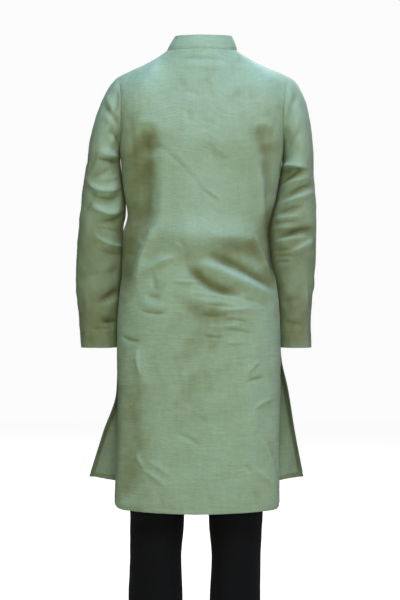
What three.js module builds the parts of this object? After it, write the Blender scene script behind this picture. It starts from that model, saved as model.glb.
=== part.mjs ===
// A kurta with a band collar, long sleeves and side slits, and the straight trousers worn under it.
// Both hold the open, hollow form that they take on a general figure standing with the arms down.
// Sizes are in millimetres. X runs to the wearer's right, Y to the wearer's front and Z up.
// The origin is the middle of the neck opening, level with the inner ends of the shoulder seams.
import * as THREE from "three";

// Cloth thicknesses, and the room left between two pieces where they are sewn together.
const KURTA_WALL = 1.2;
const COLLAR_WALL = 2.0;
const PLACKET_WALL = 1.2;
const TROUSER_WALL = 1.4;
const WAISTBAND_WALL = 2.6;
const SEAM_GAP = 0.5;
const PLACKET_GAP = 0.75;

// Neck and shoulders.
const NECK_HALF_WIDTH = 82;
const NECK_BACK_DEPTH = 66;
const NECK_BACK_DROP = 6;
const NECK_FRONT_DEPTH = 72;
const NECK_FRONT_DROP = 78;
const NECK_SHARE = 0.44; // the share of a panel's half width that ends at the neck
const SHOULDER_LEFT = 197;
const SHOULDER_RIGHT = 203;
const CAP_REACH = { left: 106, right: 146 }; // how far a sleeve's cap swings out below the shoulder
const SHOULDER_DROP = 61;
const SHOULDER_HOLLOW = 30; // the seam sags below a straight line by up to about a seventh of this
const COLLAR_HEIGHT = 34;
const COLLAR_LEAN = 15;
const COLLAR_SHIFT = 4;

// Heights of the armpit, of the slits' upper ends and of the ring below the sleeve cap.
const ARMPIT = -235;
const SLIT_TOP = -640;
const SLEEVE_RING = -262;

// The opening at the centre front and its placket.
const PLACKET_WIDTH = 34;
const OPENING_END = -395;
const PLACKET_END = -420;
const OPENING_HALF = 0.006; // in the panel's across measure, where its side edges are -1 and 1
const BUTTON_RADIUS = 5.75;
const BUTTON_HEIGHT = 2.4;
const BUTTON_HOLE = 0.8;
const BUTTON_HEIGHTS = [-112, -196, -280, -364];

// Trousers.
const CROTCH = -700;
const RISE_CURVE = 110;
const WAIST = -452;
const WAISTBAND_HEIGHT = 36;
const TROUSER_MIDDLE = -8;

const LINEN = new THREE.MeshStandardMaterial({ color: 0x8fa98c, roughness: 0.85, metalness: 0 });
const BLACK_COTTON = new THREE.MeshStandardMaterial({ color: 0x17181b, roughness: 0.9, metalness: 0 });
const BUTTON_SHELL = new THREE.MeshStandardMaterial({ color: 0x9aa88e, roughness: 0.45, metalness: 0 });

const table = (names, rows) => rows.map((row) => Object.fromEntries(names.map((name, i) => [name, row[i]])));

// Horizontal sections of the two body panels. Left and right are the side edges, edge and middle
// are depths, roundness is the exponent of the section, and lift raises the hem's two corners.
const SECTION_COLUMNS = ["height", "left", "right", "edge", "middle", "roundness", "lift"];
const BACK_SECTIONS = table(SECTION_COLUMNS, [
  [-235, -192, 191, 0, -118, 0.6, 0],
  [-304, -187.5, 182, 0, -112, 0.9, 0],
  [-352, -180.5, 173.5, 0, -110, 0.95, 0],
  [-387, -175.5, 164.5, 0, -110, 0.95, 0],
  [-434, -185.5, 157, 0, -111, 0.9, 0],
  [-493, -187, 162, 0, -103, 0.85, 0],
  [-545, -191, 175, 0, -109, 0.8, 0],
  [-640, -199, 183, 0, -120, 0.75, 0],
  [-700, -199, 184, -10, -124, 0.7, 0],
  [-824, -196, 181, -35, -128, 0.7, 0],
  [-933, -197, 178, -55, -131, 0.7, 1],
  [-1054, -201, 178, -65, -134, 0.7, 5],
  [-1072, -192, 173, -66, -134, 0.7, 6],
]);
const FRONT_SECTIONS = table(SECTION_COLUMNS, [
  [-235, -192, 191, 0, 122, 0.7, 0],
  [-304, -187.5, 182, 0, 119, 0.9, 0],
  [-352, -180.5, 173.5, 0, 114.5, 0.9, 0],
  [-387, -175.5, 164.5, 0, 110, 0.9, 0],
  [-434, -185.5, 157, 0, 107, 0.9, 0],
  [-493, -187, 162, 0, 108, 0.9, 0],
  [-545, -191, 175, 0, 111, 0.85, 0],
  [-640, -199, 183, 0, 117, 0.7, 0],
  [-720, -200, 187, 14, 121, 0.65, 3],
  [-812, -204, 206, 42, 127, 0.7, 9],
  [-933, -239, 225, 80, 138, 0.8, 25],
  [-1065, -275, 248, 110, 150, 0.9, 46],
]);

// Rings of the two sleeves below the cap: centre across, half width, centre depth, half depth.
const RING_COLUMNS = ["height", "centre", "half", "depth", "halfDepth"];
const SLEEVE_RINGS = {
  left: table(RING_COLUMNS, [
    [-262, -232.2, 38.4, 14, 72],
    [-304, -235.2, 46, 28, 70],
    [-352, -234.4, 52.1, 34, 68],
    [-387, -236.6, 54.1, 36, 66],
    [-410, -240.3, 52.8, 37, 64.5],
    [-434, -241.5, 54, 38, 63],
    [-493, -243, 57, 42, 60],
    [-564, -246.9, 53.9, 46, 56],
    [-635, -246.7, 47.2, 50, 51],
    [-701, -246.3, 43.2, 54, 48],
  ]),
  right: table(RING_COLUMNS, [
    [-262, 226.8, 36.3, 12, 72],
    [-304, 225.2, 41.4, 26, 70],
    [-352, 222.6, 48.1, 32, 68],
    [-387, 218.5, 53.6, 34, 66],
    [-434, 215, 57.4, 38, 63],
    [-493, 216.3, 54.8, 42, 60],
    [-564, 221.8, 44.3, 46, 56],
    [-635, 221.8, 38.5, 50, 51],
    [-701, 224.2, 37.7, 54, 48],
  ]),
};
const LEG_RINGS = {
  left: table(RING_COLUMNS, [
    [-700, -94, 84.5, -8, 88],
    [-800, -100, 76, -5, 80],
    [-960, -105, 66, 0, 68],
    [-1116, -106, 63, -8, 64],
    [-1190, -109, 60, -14, 62],
    [-1292, -109, 63, -12, 62],
    [-1385, -109.5, 63, -6, 62],
  ]),
  right: table(RING_COLUMNS, [
    [-700, 78, 84.5, -8, 88],
    [-800, 80, 76, -5, 80],
    [-960, 79.5, 66, 0, 68],
    [-1116, 79, 62, -8, 64],
    [-1190, 80, 57, -14, 62],
    [-1292, 77.5, 59, -12, 62],
    [-1385, 78, 60, -6, 62],
  ]),
};
const HIP_SECTIONS = table(["height", "left", "right", "back", "front"], [
  [-416, -146, 133, -73, 88],
  [-452, -148, 135, -75, 89],
  [-480, -153, 139, -77, 91],
  [-560, -166, 151, -85, 95],
  [-640, -175, 160, -98, 92],
  [-700, -175, 159, -98, 80],
]);

// The largest folds, as ridges (height above 0) and troughs (under 0). Each runs from x1, z1 to
// x2, z2 on its panel, bowed sideways by bow in the middle, and half is its half width.
const FOLD_COLUMNS = ["x1", "z1", "x2", "z2", "bow", "half", "height"];
const BACK_FOLDS = table(FOLD_COLUMNS, [
  [-124, -205, -128, -252, 0, 25, -9],
  [-132, -250, -146, -440, -4, 24, -7],
  [132, -196, 150, -256, 3, 18, -8],
  [130, -285, 142, -400, -3, 10, 3.5],
  [-100, -412, -150, -548, 8, 14, 6],
  [-158, -440, -176, -560, 4, 13, -4],
  [-70, -440, 112, -440, -4, 32, 9],
  [16, -484, 162, -557, -5, 14, -9],
  [4, -503, 156, -578, -2, 13, 8],
  [-34, -508, 84, -572, 13, 13, -8],
  [-30, -580, 125, -606, 6, 16, 6],
  [-60, -588, 60, -640, 6, 18, -5],
  [-136, -528, -64, -488, -4, 12, 5],
  [-148, -700, -134, -790, 0, 16, 4],
  [-150, -800, -156, -1050, 6, 24, -4],
  [-10, -700, -30, -1060, 10, 34, -4],
  [110, -740, 96, -1060, -6, 26, 4],
]);
const FRONT_FOLDS = table(FOLD_COLUMNS, [
  [-150, -250, -60, -420, 12, 20, 5],
  [150, -255, 66, -430, -12, 20, 5],
  [-150, -500, -10, -560, 10, 20, -6],
  [140, -520, 10, -585, -10, 20, 6],
  [-185, -700, -70, -1060, -14, 26, 8],
  [-150, -740, -20, -1060, -8, 24, -7],
  [172, -710, 70, -1060, 12, 26, 8],
  [140, -750, 24, -1060, 8, 24, -7],
  [-226, -850, -180, -1040, 0, 20, -5],
  [216, -860, 176, -1040, 0, 20, -5],
]);

// Sleeve folds run from turn1, z1 to turn2, z2, where the turn goes from the underarm seam (0)
// over the back (90) and the outer side (180) to the front (270).
const TURN_COLUMNS = ["turn1", "z1", "turn2", "z2", "bow", "half", "height"];
const SLEEVE_FOLDS = {
  left: table(TURN_COLUMNS, [
    [26, -251, 112, -247, -3, 9, 5],
    [24, -264, 104, -262, 2, 9, -5],
    [36, -314, 132, -312, 17, 10, 6],
    [38, -342, 116, -346, 12, 10, -6],
    [34, -368, 118, -364, 16, 10, 6],
    [30, -390, 104, -406, 4, 10, -5],
    [22, -462, 104, -438, 6, 11, 4],
    [30, -566, 88, -592, 0, 16, -6],
    [22, -640, 84, -640, 0, 12, -5],
    [230, -330, 320, -352, 10, 16, 6],
    [220, -380, 318, -392, 8, 16, -6],
    [220, -430, 300, -445, 4, 16, 5],
  ]),
  right: table(TURN_COLUMNS, [
    [20, -276, 116, -279, -4, 9, 6],
    [20, -288, 104, -292, -2, 9, -6],
    [40, -312, 104, -287, -3, 9, -4],
    [44, -325, 118, -302, -3, 9, 5],
    [50, -350, 148, -318, -3, 10, -6],
    [48, -366, 144, -336, -3, 10, 6],
    [44, -386, 108, -370, 0, 9, -5],
    [56, -441, 146, -421, -3, 11, -7],
    [46, -456, 120, -440, -2, 10, 5],
    [84, -478, 146, -450, 0, 11, 5],
    [230, -330, 320, -352, 10, 16, 6],
    [220, -380, 318, -392, 8, 16, -6],
    [220, -430, 300, -445, 4, 16, 5],
  ]),
};

// How finely the pieces are divided.
const SHOULDER_CELLS = 6;
const NECK_CELLS = 6;
const YOKE_ROWS = 8;
const BODY_ROWS = [
  -235, -262, -290, -320, -355, -395, -430, -456, -480, -502, -521, -540, -559, -582, -608, -640,
];
const SKIRT_ROWS = [-678, -720, -768, -820, -876, -934, -1000, -1054];
const CAP_ROWS = 5;
const SLEEVE_ROWS = [
  -262, -274, -287, -300, -313, -326, -340, -353, -366, -380, -394, -410, -425, -440, -455, -472, -495,
  -526, -560, -594, -625, -644, -670, -701,
];
const LEG_CELLS = 16;
const HIP_ROWS = [-452, -505, -560, -605, -640, -665, -684, -695];
const LEG_ROWS = [-700, -740, -800, -880, -960, -1040, -1116, -1190, -1292, -1385];

const clamp = (value, low, high) => Math.min(high, Math.max(low, value));
const mix = (a, b, share) => a + (b - a) * share;
const smooth = (low, high, value) => {
  const share = clamp((value - low) / (high - low), 0, 1);
  return share * share * (3 - 2 * share);
};
const steps = (cells, from = 0, to = 1) => Array.from({ length: cells + 1 }, (_, i) => mix(from, to, i / cells));
const degrees = THREE.MathUtils.degToRad;

// One column of a table at any height, along a smooth curve that never swings past its rows.
function read(rows, column, height) {
  const last = rows.length - 1;
  const z = clamp(height, rows[last].height, rows[0].height);
  const i = clamp(rows.findIndex((row) => row.height < z) - 1, 0, last - 1);
  const secant = (k) => {
    const [above, below] = [rows[clamp(k, 0, last - 1)], rows[clamp(k, 0, last - 1) + 1]];
    return (below[column] - above[column]) / (below.height - above.height);
  };
  const slope = (k) => {
    const [above, below] = [secant(k - 1), secant(k)];
    return above * below > 0 ? (2 * above * below) / (above + below) : 0;
  };
  const from = z <= rows[last].height ? last - 1 : i;
  const span = rows[from + 1].height - rows[from].height;
  return hermite(rows[from][column], slope(from) * span, rows[from + 1][column], slope(from + 1) * span,
    (z - rows[from].height) / span);
}

// The cubic that leaves start with the tangent out and reaches end with the tangent into it.
function hermite(start, out, end, into, share) {
  const [s2, s3] = [share ** 2, share ** 3];
  return (2 * s3 - 3 * s2 + 1) * start + (s3 - 2 * s2 + share) * out + (3 * s2 - 2 * s3) * end + (s3 - s2) * into;
}

function hermitePoint(start, out, end, into, share) {
  const along = (axis) => hermite(start[axis], out[axis], end[axis], into[axis], share);
  return new THREE.Vector3(along("x"), along("y"), along("z"));
}

// The height of all folds at a place on a panel: each is a bell across its path, fading at its ends.
function foldHeight(folds, a, b, first = "x1", second = "x2", stretch = 1) {
  return folds.reduce((sum, fold) => {
    const [dx, dz] = [(fold[second] - fold[first]) * stretch, fold.z2 - fold.z1];
    const length = Math.hypot(dx, dz);
    const [px, pz] = [(a - fold[first]) * stretch, b - fold.z1];
    const along = (px * dx + pz * dz) / length ** 2;
    const across = (px * dz - pz * dx) / length - fold.bow * 4 * along * (1 - along);
    const fade = smooth(-0.2, 0.3, along) * smooth(-0.2, 0.3, 1 - along);
    return sum + fold.height * Math.exp(-((across / fold.half) ** 2)) * fade;
  }, 0);
}

// A point of a body panel below the armpit, at a place across it from -1 to 1.
function sectionPoint(sections, across, height) {
  const value = (column) => read(sections, column, height);
  const angle = (across * Math.PI) / 2;
  const [left, right, edge] = [value("left"), value("right"), value("edge")];
  const middle = (left + right) / 2;
  return new THREE.Vector3(
    middle + ((right - left) / 2) * Math.sin(angle),
    edge + (value("middle") - edge) * Math.cos(angle) ** value("roundness"),
    height + value("lift") * Math.abs(Math.sin(angle)) ** 1.3,
  );
}

// The upper edge of a panel: a shoulder seam, half of the neckline and the other shoulder seam.
function topEdge(front, across) {
  const side = Math.sign(across);
  if (Math.abs(across) > NECK_SHARE) {
    const share = (Math.abs(across) - NECK_SHARE) / (1 - NECK_SHARE);
    const tip = side < 0 ? SHOULDER_LEFT : SHOULDER_RIGHT;
    const drop = share * (SHOULDER_DROP + SHOULDER_HOLLOW * (1 - share) ** 2);
    return new THREE.Vector3(side * mix(NECK_HALF_WIDTH, tip, share), 0, -drop);
  }
  const angle = ((across / NECK_SHARE) * Math.PI) / 2;
  const inward = Math.max(Math.cos(angle), 0);
  const x = NECK_HALF_WIDTH * Math.sin(angle);
  return front
    ? new THREE.Vector3(x, NECK_FRONT_DEPTH * inward, -NECK_FRONT_DROP * inward ** 1.3)
    : new THREE.Vector3(x, -NECK_BACK_DEPTH * inward, -NECK_BACK_DROP * inward);
}

// A point of a panel above the armpit: a curve from the armpit's section over to the upper edge.
function yokePoint(front, sections, across, share) {
  const outwards = front ? 1 : -1;
  const [reach, side] = [Math.abs(across), Math.sign(across)];
  const rim = reach ** 6;
  const overShoulder = smooth(0.2, 0.55, reach);
  const besideNeck = smooth(0, NECK_SHARE, reach) * (1 - smooth(NECK_SHARE, 0.85, reach));
  const start = sectionPoint(sections, across, ARMPIT);
  const climb = mix(front ? 190 : 230, 120, rim);
  const slope = start.clone().sub(sectionPoint(sections, across, ARMPIT - 6)).divideScalar(6);
  const above = new THREE.Vector3(
    -side * rim * 28 + slope.x * climb * (1 - rim),
    outwards * rim * (front ? 215 : 240) + slope.y * climb * (1 - rim),
    climb,
  );
  const into = new THREE.Vector3(
    side * (rim * 28 - besideNeck * 80),
    -outwards * mix(mix(front ? 45 : 60, front ? 300 : 320, overShoulder), front ? 250 : 280, rim),
    mix(front ? 100 : 120, 90, overShoulder),
  );
  return hermitePoint(start, above, topEdge(front, across), into, share);
}

const fullRows = (hem) => [hem, ...[...SKIRT_ROWS].reverse(), ...[...BODY_ROWS].reverse()];

// The middle surface of a body panel: rows run up from the hem, and columns run across it.
function panelGrid(front) {
  const sections = front ? FRONT_SECTIONS : BACK_SECTIONS;
  const folds = front ? FRONT_FOLDS : BACK_FOLDS;
  const hem = sections.at(-1).height;
  const inner = front ? OPENING_HALF : 0;
  const half = [...steps(SHOULDER_CELLS, 1, NECK_SHARE), ...steps(NECK_CELLS, NECK_SHARE, inner).slice(1)];
  const mirrored = half.map((across) => -across).reverse();
  const columns = front ? [...half, ...mirrored] : [...half, ...mirrored.slice(1)].reverse();
  const place = (across, row) => (row < 0 ? sectionPoint(sections, across, row) : yokePoint(front, sections, across, row));
  const rows = [...fullRows(hem), ...steps(YOKE_ROWS).slice(1)];
  const grid = rows.map((row) => columns.map((across) => place(across, row)));
  const normals = gridNormals(grid, false, 1);
  const shape = grid.map((line, j) => line.map((point, i) => {
    const calm = (1 - Math.abs(columns[i]) ** 6) * (rows[j] < 0 ? 1 : 1 - rows[j] ** 2);
    return point.clone().addScaledVector(normals[j][i], foldHeight(folds, point.x, point.z) * calm);
  }));
  return { grid: shape, columns, rows };
}

function gridNormals(grid, closed, turn) {
  const [rows, columns] = [grid.length, grid[0].length];
  const at = (j, i) => grid[clamp(j, 0, rows - 1)][closed ? (i + columns) % columns : clamp(i, 0, columns - 1)];
  return grid.map((line, j) => line.map((_, i) => {
    const sideways = at(j, i + 1).clone().sub(at(j, i - 1));
    const upwards = at(j + 1, i).clone().sub(at(j - 1, i));
    return sideways.cross(upwards).normalize().multiplyScalar(turn);
  }));
}

// A cloth wall round a grid of points. A point's own rim vector, where it has one, sets the wall
// there; closed joins the last column to the first, and present leaves out cells of an opening.
// Both faces of a cell are split along the same diagonal, so that they stay parallel.
function wall(grid, thickness, { closed = false, turn = 1, present = () => true } = {}) {
  const [rows, columns] = [grid.length, grid[0].length];
  const normals = gridNormals(grid, closed, turn);
  const corner = (j, i, layer) => {
    const point = grid[j][i % columns];
    const rim = point.rim ?? normals[j][i % columns];
    return point.clone().addScaledVector(rim, (layer * thickness) / 2);
  };
  const cells = closed ? columns : columns - 1;
  const there = (j, i) => j >= 0 && j < rows - 1 && (closed || (i >= 0 && i < cells)) && present(j, (i + cells) % cells);
  const points = [];
  const quad = ([a, b, c, d], facing) => {
    const corners = facing > 0 ? [a, b, c, a, c, d] : [a, c, b, a, d, c];
    corners.forEach((v) => points.push(v.x, v.y, v.z));
  };
  for (let j = 0; j < rows - 1; j += 1) {
    for (let i = 0; i < cells; i += 1) {
      if (!there(j, i)) continue;
      const ring = [[j, i], [j, i + 1], [j + 1, i + 1], [j + 1, i]];
      const [outer, inner] = [1, -1].map((layer) => ring.map(([row, column]) => corner(row, column, layer)));
      quad(outer, turn);
      quad(inner, -turn);
      [[j - 1, i], [j, i + 1], [j + 1, i], [j, i - 1]].forEach(([row, column], edge) => {
        if (there(row, column)) return;
        const next = (edge + 1) % 4;
        quad([outer[next], outer[edge], inner[edge], inner[next]], turn);
      });
    }
  }
  const geometry = new THREE.BufferGeometry();
  geometry.setAttribute("position", new THREE.Float32BufferAttribute(points, 3));
  return geometry;
}

// Mitres two pieces along a seam: both end in one plane, half a seam gap to each side of it.
// Each entry holds the points and outward normals of the two pieces, and the seam's direction.
// Where both body panels meet a third piece, the mitre stays in the plane of their own seam.
function mitre(entries) {
  entries.forEach(({ first, firstNormal, second, secondNormal, tangent, towardsSecond }) => {
    const rim = firstNormal.clone().add(secondNormal);
    if (first.length > 1) rim.setY(0);
    rim.normalize();
    const away = tangent.clone().cross(rim).normalize();
    if (away.dot(towardsSecond) < 0) away.negate();
    first.forEach((point) => {
      point.addScaledVector(away, -SEAM_GAP / 2);
      point.rim = rim;
    });
    second.addScaledVector(away, SEAM_GAP / 2);
    second.rim = rim;
  });
}

// A sleeve: the cap's columns leave the armhole and turn down into the first ring.
function sleeveGrid(side, armhole) {
  const rings = SLEEVE_RINGS[side];
  const out = side === "left" ? -1 : 1;
  const ringPoint = (turn, height) => new THREE.Vector3(
    read(rings, "centre", height) - out * read(rings, "half", height) * Math.cos(turn),
    read(rings, "depth", height) - read(rings, "halfDepth", height) * Math.sin(turn),
    height,
  );
  const turns = armhole.map((_, k) => (k / armhole.length) * 2 * Math.PI);
  const cap = steps(CAP_ROWS).slice(0, -1).map((share) => armhole.map((start, k) => {
    const over = (1 - Math.cos(turns[k])) / 2;
    const leaving = new THREE.Vector3(out * mix(14, CAP_REACH[side], over), -12 * Math.sin(turns[k]), mix(-16, -60, over));
    const arriving = new THREE.Vector3(0, 0, mix(-24, -200, over));
    return hermitePoint(start, leaving, ringPoint(turns[k], SLEEVE_RING), arriving, share);
  }));
  const rows = SLEEVE_ROWS.map((height) => turns.map((turn) => ringPoint(turn, height)));
  const grid = [...cap, ...rows];
  const normals = gridNormals(grid, true, -out);
  return grid.map((line, j) => line.map((point, k) => {
    if (j < 2) return point;
    const clear = smooth(20, 50, 180 - Math.abs(180 - THREE.MathUtils.radToDeg(turns[k])));
    const turn = THREE.MathUtils.radToDeg(turns[k]);
    const height = foldHeight(SLEEVE_FOLDS[side], turn, point.z, "turn1", "turn2", 1.05);
    return point.clone().addScaledVector(normals[j][k], height * clear);
  }));
}

// The points of a panel pair round one armhole, from the armpit over the back to the front.
function armholeLoop(back, front, side) {
  const armpitRow = back.rows.length - 1 - YOKE_ROWS;
  const column = (panel, across) => (panel.columns[0] === across ? 0 : panel.columns.length - 1);
  const [backColumn, frontColumn] = [column(back, side), column(front, side)];
  const up = steps(YOKE_ROWS).map((_, k) => armpitRow + k);
  const behind = up.map((row) => [[back, row, backColumn]]);
  const before = up.map((row) => [[front, row, frontColumn]]).reverse();
  behind[0].push(...before.at(-1));
  behind[YOKE_ROWS].push(...before[0]);
  return [...behind, ...before.slice(1, -1)];
}

// The two body panels lie half a seam gap apart along their side and shoulder seams.
function openSeams(panel, outwards) {
  const lastRow = panel.rows.length - 1;
  const slit = panel.rows.indexOf(SLIT_TOP);
  panel.grid.forEach((line, j) => line.forEach((point, i) => {
    const atSide = (i === 0 || i === line.length - 1) && j >= slit && panel.rows[j] < 0;
    const atShoulder = j === lastRow && Math.abs(panel.columns[i]) >= NECK_SHARE - 1e-6;
    if (!atSide && !atShoulder) return;
    point.y += (outwards * SEAM_GAP) / 2;
    point.rim = (point.rim ?? panel.normals[j][i]).clone().setY(0).normalize();
  }));
}

function sewSleeve(back, front, side) {
  const name = side < 0 ? "left" : "right";
  const loop = armholeLoop(back, front, side);
  const starts = loop.map((corners) => {
    const [panel, row, column] = corners[0];
    const start = panel.grid[row][column].clone();
    if (corners.length > 1) start.y = 0;
    return start;
  });
  const grid = sleeveGrid(name, starts);
  const sleeveNormals = gridNormals(grid, true, -side);
  mitre(loop.map((corners, k) => ({
    first: corners.map(([panel, row, column]) => panel.grid[row][column]),
    firstNormal: corners.reduce((sum, [panel, row, column]) => sum.add(panel.normals[row][column]), new THREE.Vector3()).normalize(),
    second: grid[0][k],
    secondNormal: sleeveNormals[0][k],
    tangent: starts[(k + 1) % starts.length].clone().sub(starts.at(k - 1)),
    towardsSecond: grid[1][k].clone().sub(grid[0][k]),
  })));
  return grid;
}

// The collar stands on the neckline, which it follows from the centre front round the back.
function collarGrid(back, front) {
  const top = back.rows.length - 1;
  const onNeck = (panel) => panel.columns
    .map((across, i) => ({ panel, across, i }))
    .filter(({ across }) => Math.abs(across) <= NECK_SHARE + 1e-6);
  const ahead = onNeck(front);
  const right = ahead.filter(({ across }) => across > 0).reverse();
  const left = ahead.filter(({ across }) => across < 0).reverse();
  const behind = onNeck(back).reverse();
  const shared = (a, b) => ({ ...a, twin: b });
  const seats = [...right.slice(0, -1), shared(right.at(-1), behind[0]), ...behind.slice(1, -1),
    shared(behind.at(-1), left[0]), ...left.slice(1)];
  const foot = seats.map(({ panel, i, twin }) => {
    const point = panel.grid[top][i].clone();
    if (twin) point.y = 0;
    return point;
  });
  const rows = [0, 0.5, 1].map((share) => foot.map((point) => {
    const inward = new THREE.Vector3(-point.x, -point.y, 0).normalize();
    return point.clone().addScaledVector(inward, COLLAR_LEAN * share ** 1.3).add(new THREE.Vector3(COLLAR_SHIFT * share, 0, COLLAR_HEIGHT * share));
  }));
  const normals = gridNormals(rows, false, -1);
  mitre(seats.map(({ panel, i, twin }, k) => ({
    first: [panel.grid[top][i], ...(twin ? [twin.panel.grid[top][twin.i]] : [])],
    firstNormal: panel.normals[top][i],
    second: rows[0][k],
    secondNormal: normals[0][k],
    tangent: foot[Math.min(k + 1, foot.length - 1)].clone().sub(foot[Math.max(k - 1, 0)]),
    towardsSecond: rows[1][k].clone().sub(rows[0][k]),
  })));
  return rows;
}

// A band on the front panel, made from the panel's surface moved out or in by a distance.
function placketGrid(distance, end, inset) {
  const half = PLACKET_WIDTH / 2 / (NECK_HALF_WIDTH * Math.PI / 2 / NECK_SHARE);
  const heights = [end, -400, -380, -355, -330, -305, -280, -258, ARMPIT];
  const shares = steps(6, 0.14, inset);
  const place = (across, row) => (row < 0
    ? sectionPoint(FRONT_SECTIONS, across * (NECK_HALF_WIDTH / NECK_SHARE / 191), row)
    : yokePoint(true, FRONT_SECTIONS, across * mix(NECK_HALF_WIDTH / NECK_SHARE / 191, 1, row), row));
  const grid = [...heights, ...shares].map((row) => steps(4, half, -half).map((across) => {
    const point = place(across, row);
    const lift = foldHeight(FRONT_FOLDS, point.x, point.z) * (row < 0 ? 1 : 1 - row ** 2);
    return point.add(new THREE.Vector3(0, lift, 0));
  }));
  const normals = gridNormals(grid, false, 1);
  return grid.map((line, j) => line.map((point, i) => point.clone().addScaledVector(normals[j][i], distance)));
}

// A flat round button with four holes, standing on the placket at a height.
function buttonMesh(placket, height, name) {
  const disc = new THREE.Shape(steps(15, 0, 15 / 16).map((share) => new THREE.Vector2(
    BUTTON_RADIUS * Math.cos(share * 2 * Math.PI), BUTTON_RADIUS * Math.sin(share * 2 * Math.PI))));
  [45, 135, 225, 315].forEach((turn) => {
    const centre = new THREE.Vector2(2 * BUTTON_HOLE * Math.cos(degrees(turn)), 2 * BUTTON_HOLE * Math.sin(degrees(turn)));
    disc.holes.push(new THREE.Path(steps(4, 4 / 5, 0).map((share) => new THREE.Vector2(
      centre.x + BUTTON_HOLE * Math.cos(share * 2 * Math.PI), centre.y + BUTTON_HOLE * Math.sin(share * 2 * Math.PI)))));
  });
  const geometry = new THREE.ExtrudeGeometry(disc, { depth: BUTTON_HEIGHT, bevelEnabled: false });
  const middle = (placket[0].length - 1) / 2;
  const row = placket.findIndex((line) => line[middle].z >= height);
  const [below, above] = [placket[row - 1][middle], placket[row][middle]];
  const share = (height - below.z) / (above.z - below.z);
  const normal = new THREE.Vector3(1, 0, 0).cross(above.clone().sub(below)).negate().normalize();
  const mesh = new THREE.Mesh(geometry, BUTTON_SHELL);
  mesh.name = name;
  mesh.quaternion.setFromUnitVectors(new THREE.Vector3(0, 0, 1), normal);
  mesh.position.copy(below).lerp(above, share).addScaledVector(normal, PLACKET_WALL / 2 + 0.5);
  return mesh;
}

// Half of a level section through the trousers' hips, from the centre back (0) to the front (1).
function hipPoint(side, share, height) {
  const value = (column) => read(HIP_SECTIONS, column, height);
  const angle = share * Math.PI;
  const depth = value(share < 0.5 ? "back" : "front") * Math.abs(Math.cos(angle)) ** 0.75;
  return new THREE.Vector3(TROUSER_MIDDLE + (value(side) - TROUSER_MIDDLE) * Math.sin(angle), depth, height);
}

// One trouser leg: half of the hips above the crotch, closing into a tube along the inseam.
function legGrid(side) {
  const rings = LEG_RINGS[side];
  const out = side === "left" ? -1 : 1;
  const tubePoint = (share, height) => {
    const turn = share * 2 * Math.PI;
    return new THREE.Vector3(
      read(rings, "centre", height) - out * read(rings, "half", height) * Math.cos(turn),
      read(rings, "depth", height) - read(rings, "halfDepth", height) * Math.sin(turn),
      height,
    );
  };
  const columns = steps(LEG_CELLS);
  const onHips = HIP_ROWS.map((height) => columns.map((share) => {
    const rise = clamp((height - CROTCH) / RISE_CURVE, 0, 1);
    return tubePoint(share, CROTCH).setZ(height).lerp(hipPoint(side, share, height), Math.sqrt(1 - (1 - rise) ** 2));
  }));
  const onLeg = LEG_ROWS.map((height) => columns.map((share) => tubePoint(share, height)));
  const grid = [...onHips, ...onLeg];
  grid.forEach((line, j) => [line[0], line.at(-1)].forEach((point, end) => {
    const turned = j < HIP_ROWS.length;
    if (turned) point.x = TROUSER_MIDDLE + (out * SEAM_GAP) / 2;
    else point.y += (end ? 1 : -1) * (SEAM_GAP / 2);
    const fall = clamp((grid[j][0].z - CROTCH) / RISE_CURVE, 0, 1);
    const faces = end ? 1 : -1;
    point.rim = turned
      ? new THREE.Vector3(0, faces * Math.sin(fall * Math.PI / 2), -Math.cos(fall * Math.PI / 2)).normalize()
      : new THREE.Vector3(-out, 0, 0);
  }));
  return grid;
}

function waistbandGrid() {
  const heights = [WAIST + SEAM_GAP, WAIST + WAISTBAND_HEIGHT / 2, WAIST + WAISTBAND_HEIGHT];
  return heights.map((height) => {
    const half = (side) => steps(LEG_CELLS).map((share) => hipPoint(side, share, height));
    return [...half("right"), ...half("left").reverse().slice(1, -1)];
  });
}

function pieceMesh(name, geometry, material) {
  const mesh = new THREE.Mesh(geometry, material);
  mesh.name = name;
  return mesh;
}

const kurta = new THREE.Group();
const back = panelGrid(false);
const front = panelGrid(true);
back.normals = gridNormals(back.grid, false, 1);
front.normals = gridNormals(front.grid, false, 1);
const collar = collarGrid(back, front);
openSeams(back, -1);
openSeams(front, 1);
const sleeves = { left: sewSleeve(back, front, -1), right: sewSleeve(back, front, 1) };
const openingColumn = SHOULDER_CELLS + NECK_CELLS;
const openingRow = front.rows.findIndex((row) => row >= OPENING_END);

kurta.add(pieceMesh("back_panel", wall(back.grid, KURTA_WALL), LINEN));
kurta.add(pieceMesh("front_panel", wall(front.grid, KURTA_WALL, {
  present: (j, i) => i !== openingColumn || j < openingRow,
}), LINEN));
kurta.add(pieceMesh("sleeve_left", wall(sleeves.left, KURTA_WALL, { closed: true, turn: 1 }), LINEN));
kurta.add(pieceMesh("sleeve_right", wall(sleeves.right, KURTA_WALL, { closed: true, turn: -1 }), LINEN));
kurta.add(pieceMesh("collar", wall(collar, COLLAR_WALL, { turn: -1 }), LINEN));
const placketOffset = KURTA_WALL / 2 + PLACKET_WALL / 2 + PLACKET_GAP;
const placket = placketGrid(placketOffset, PLACKET_END, 0.97);
kurta.add(pieceMesh("placket_upper", wall(placket, PLACKET_WALL), LINEN));
kurta.add(pieceMesh("placket_under", wall(placketGrid(-placketOffset, PLACKET_END + 12, 0.95), PLACKET_WALL), LINEN));
BUTTON_HEIGHTS.forEach((height, i) => kurta.add(buttonMesh(placket, height, `button_${i + 1}`)));

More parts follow.
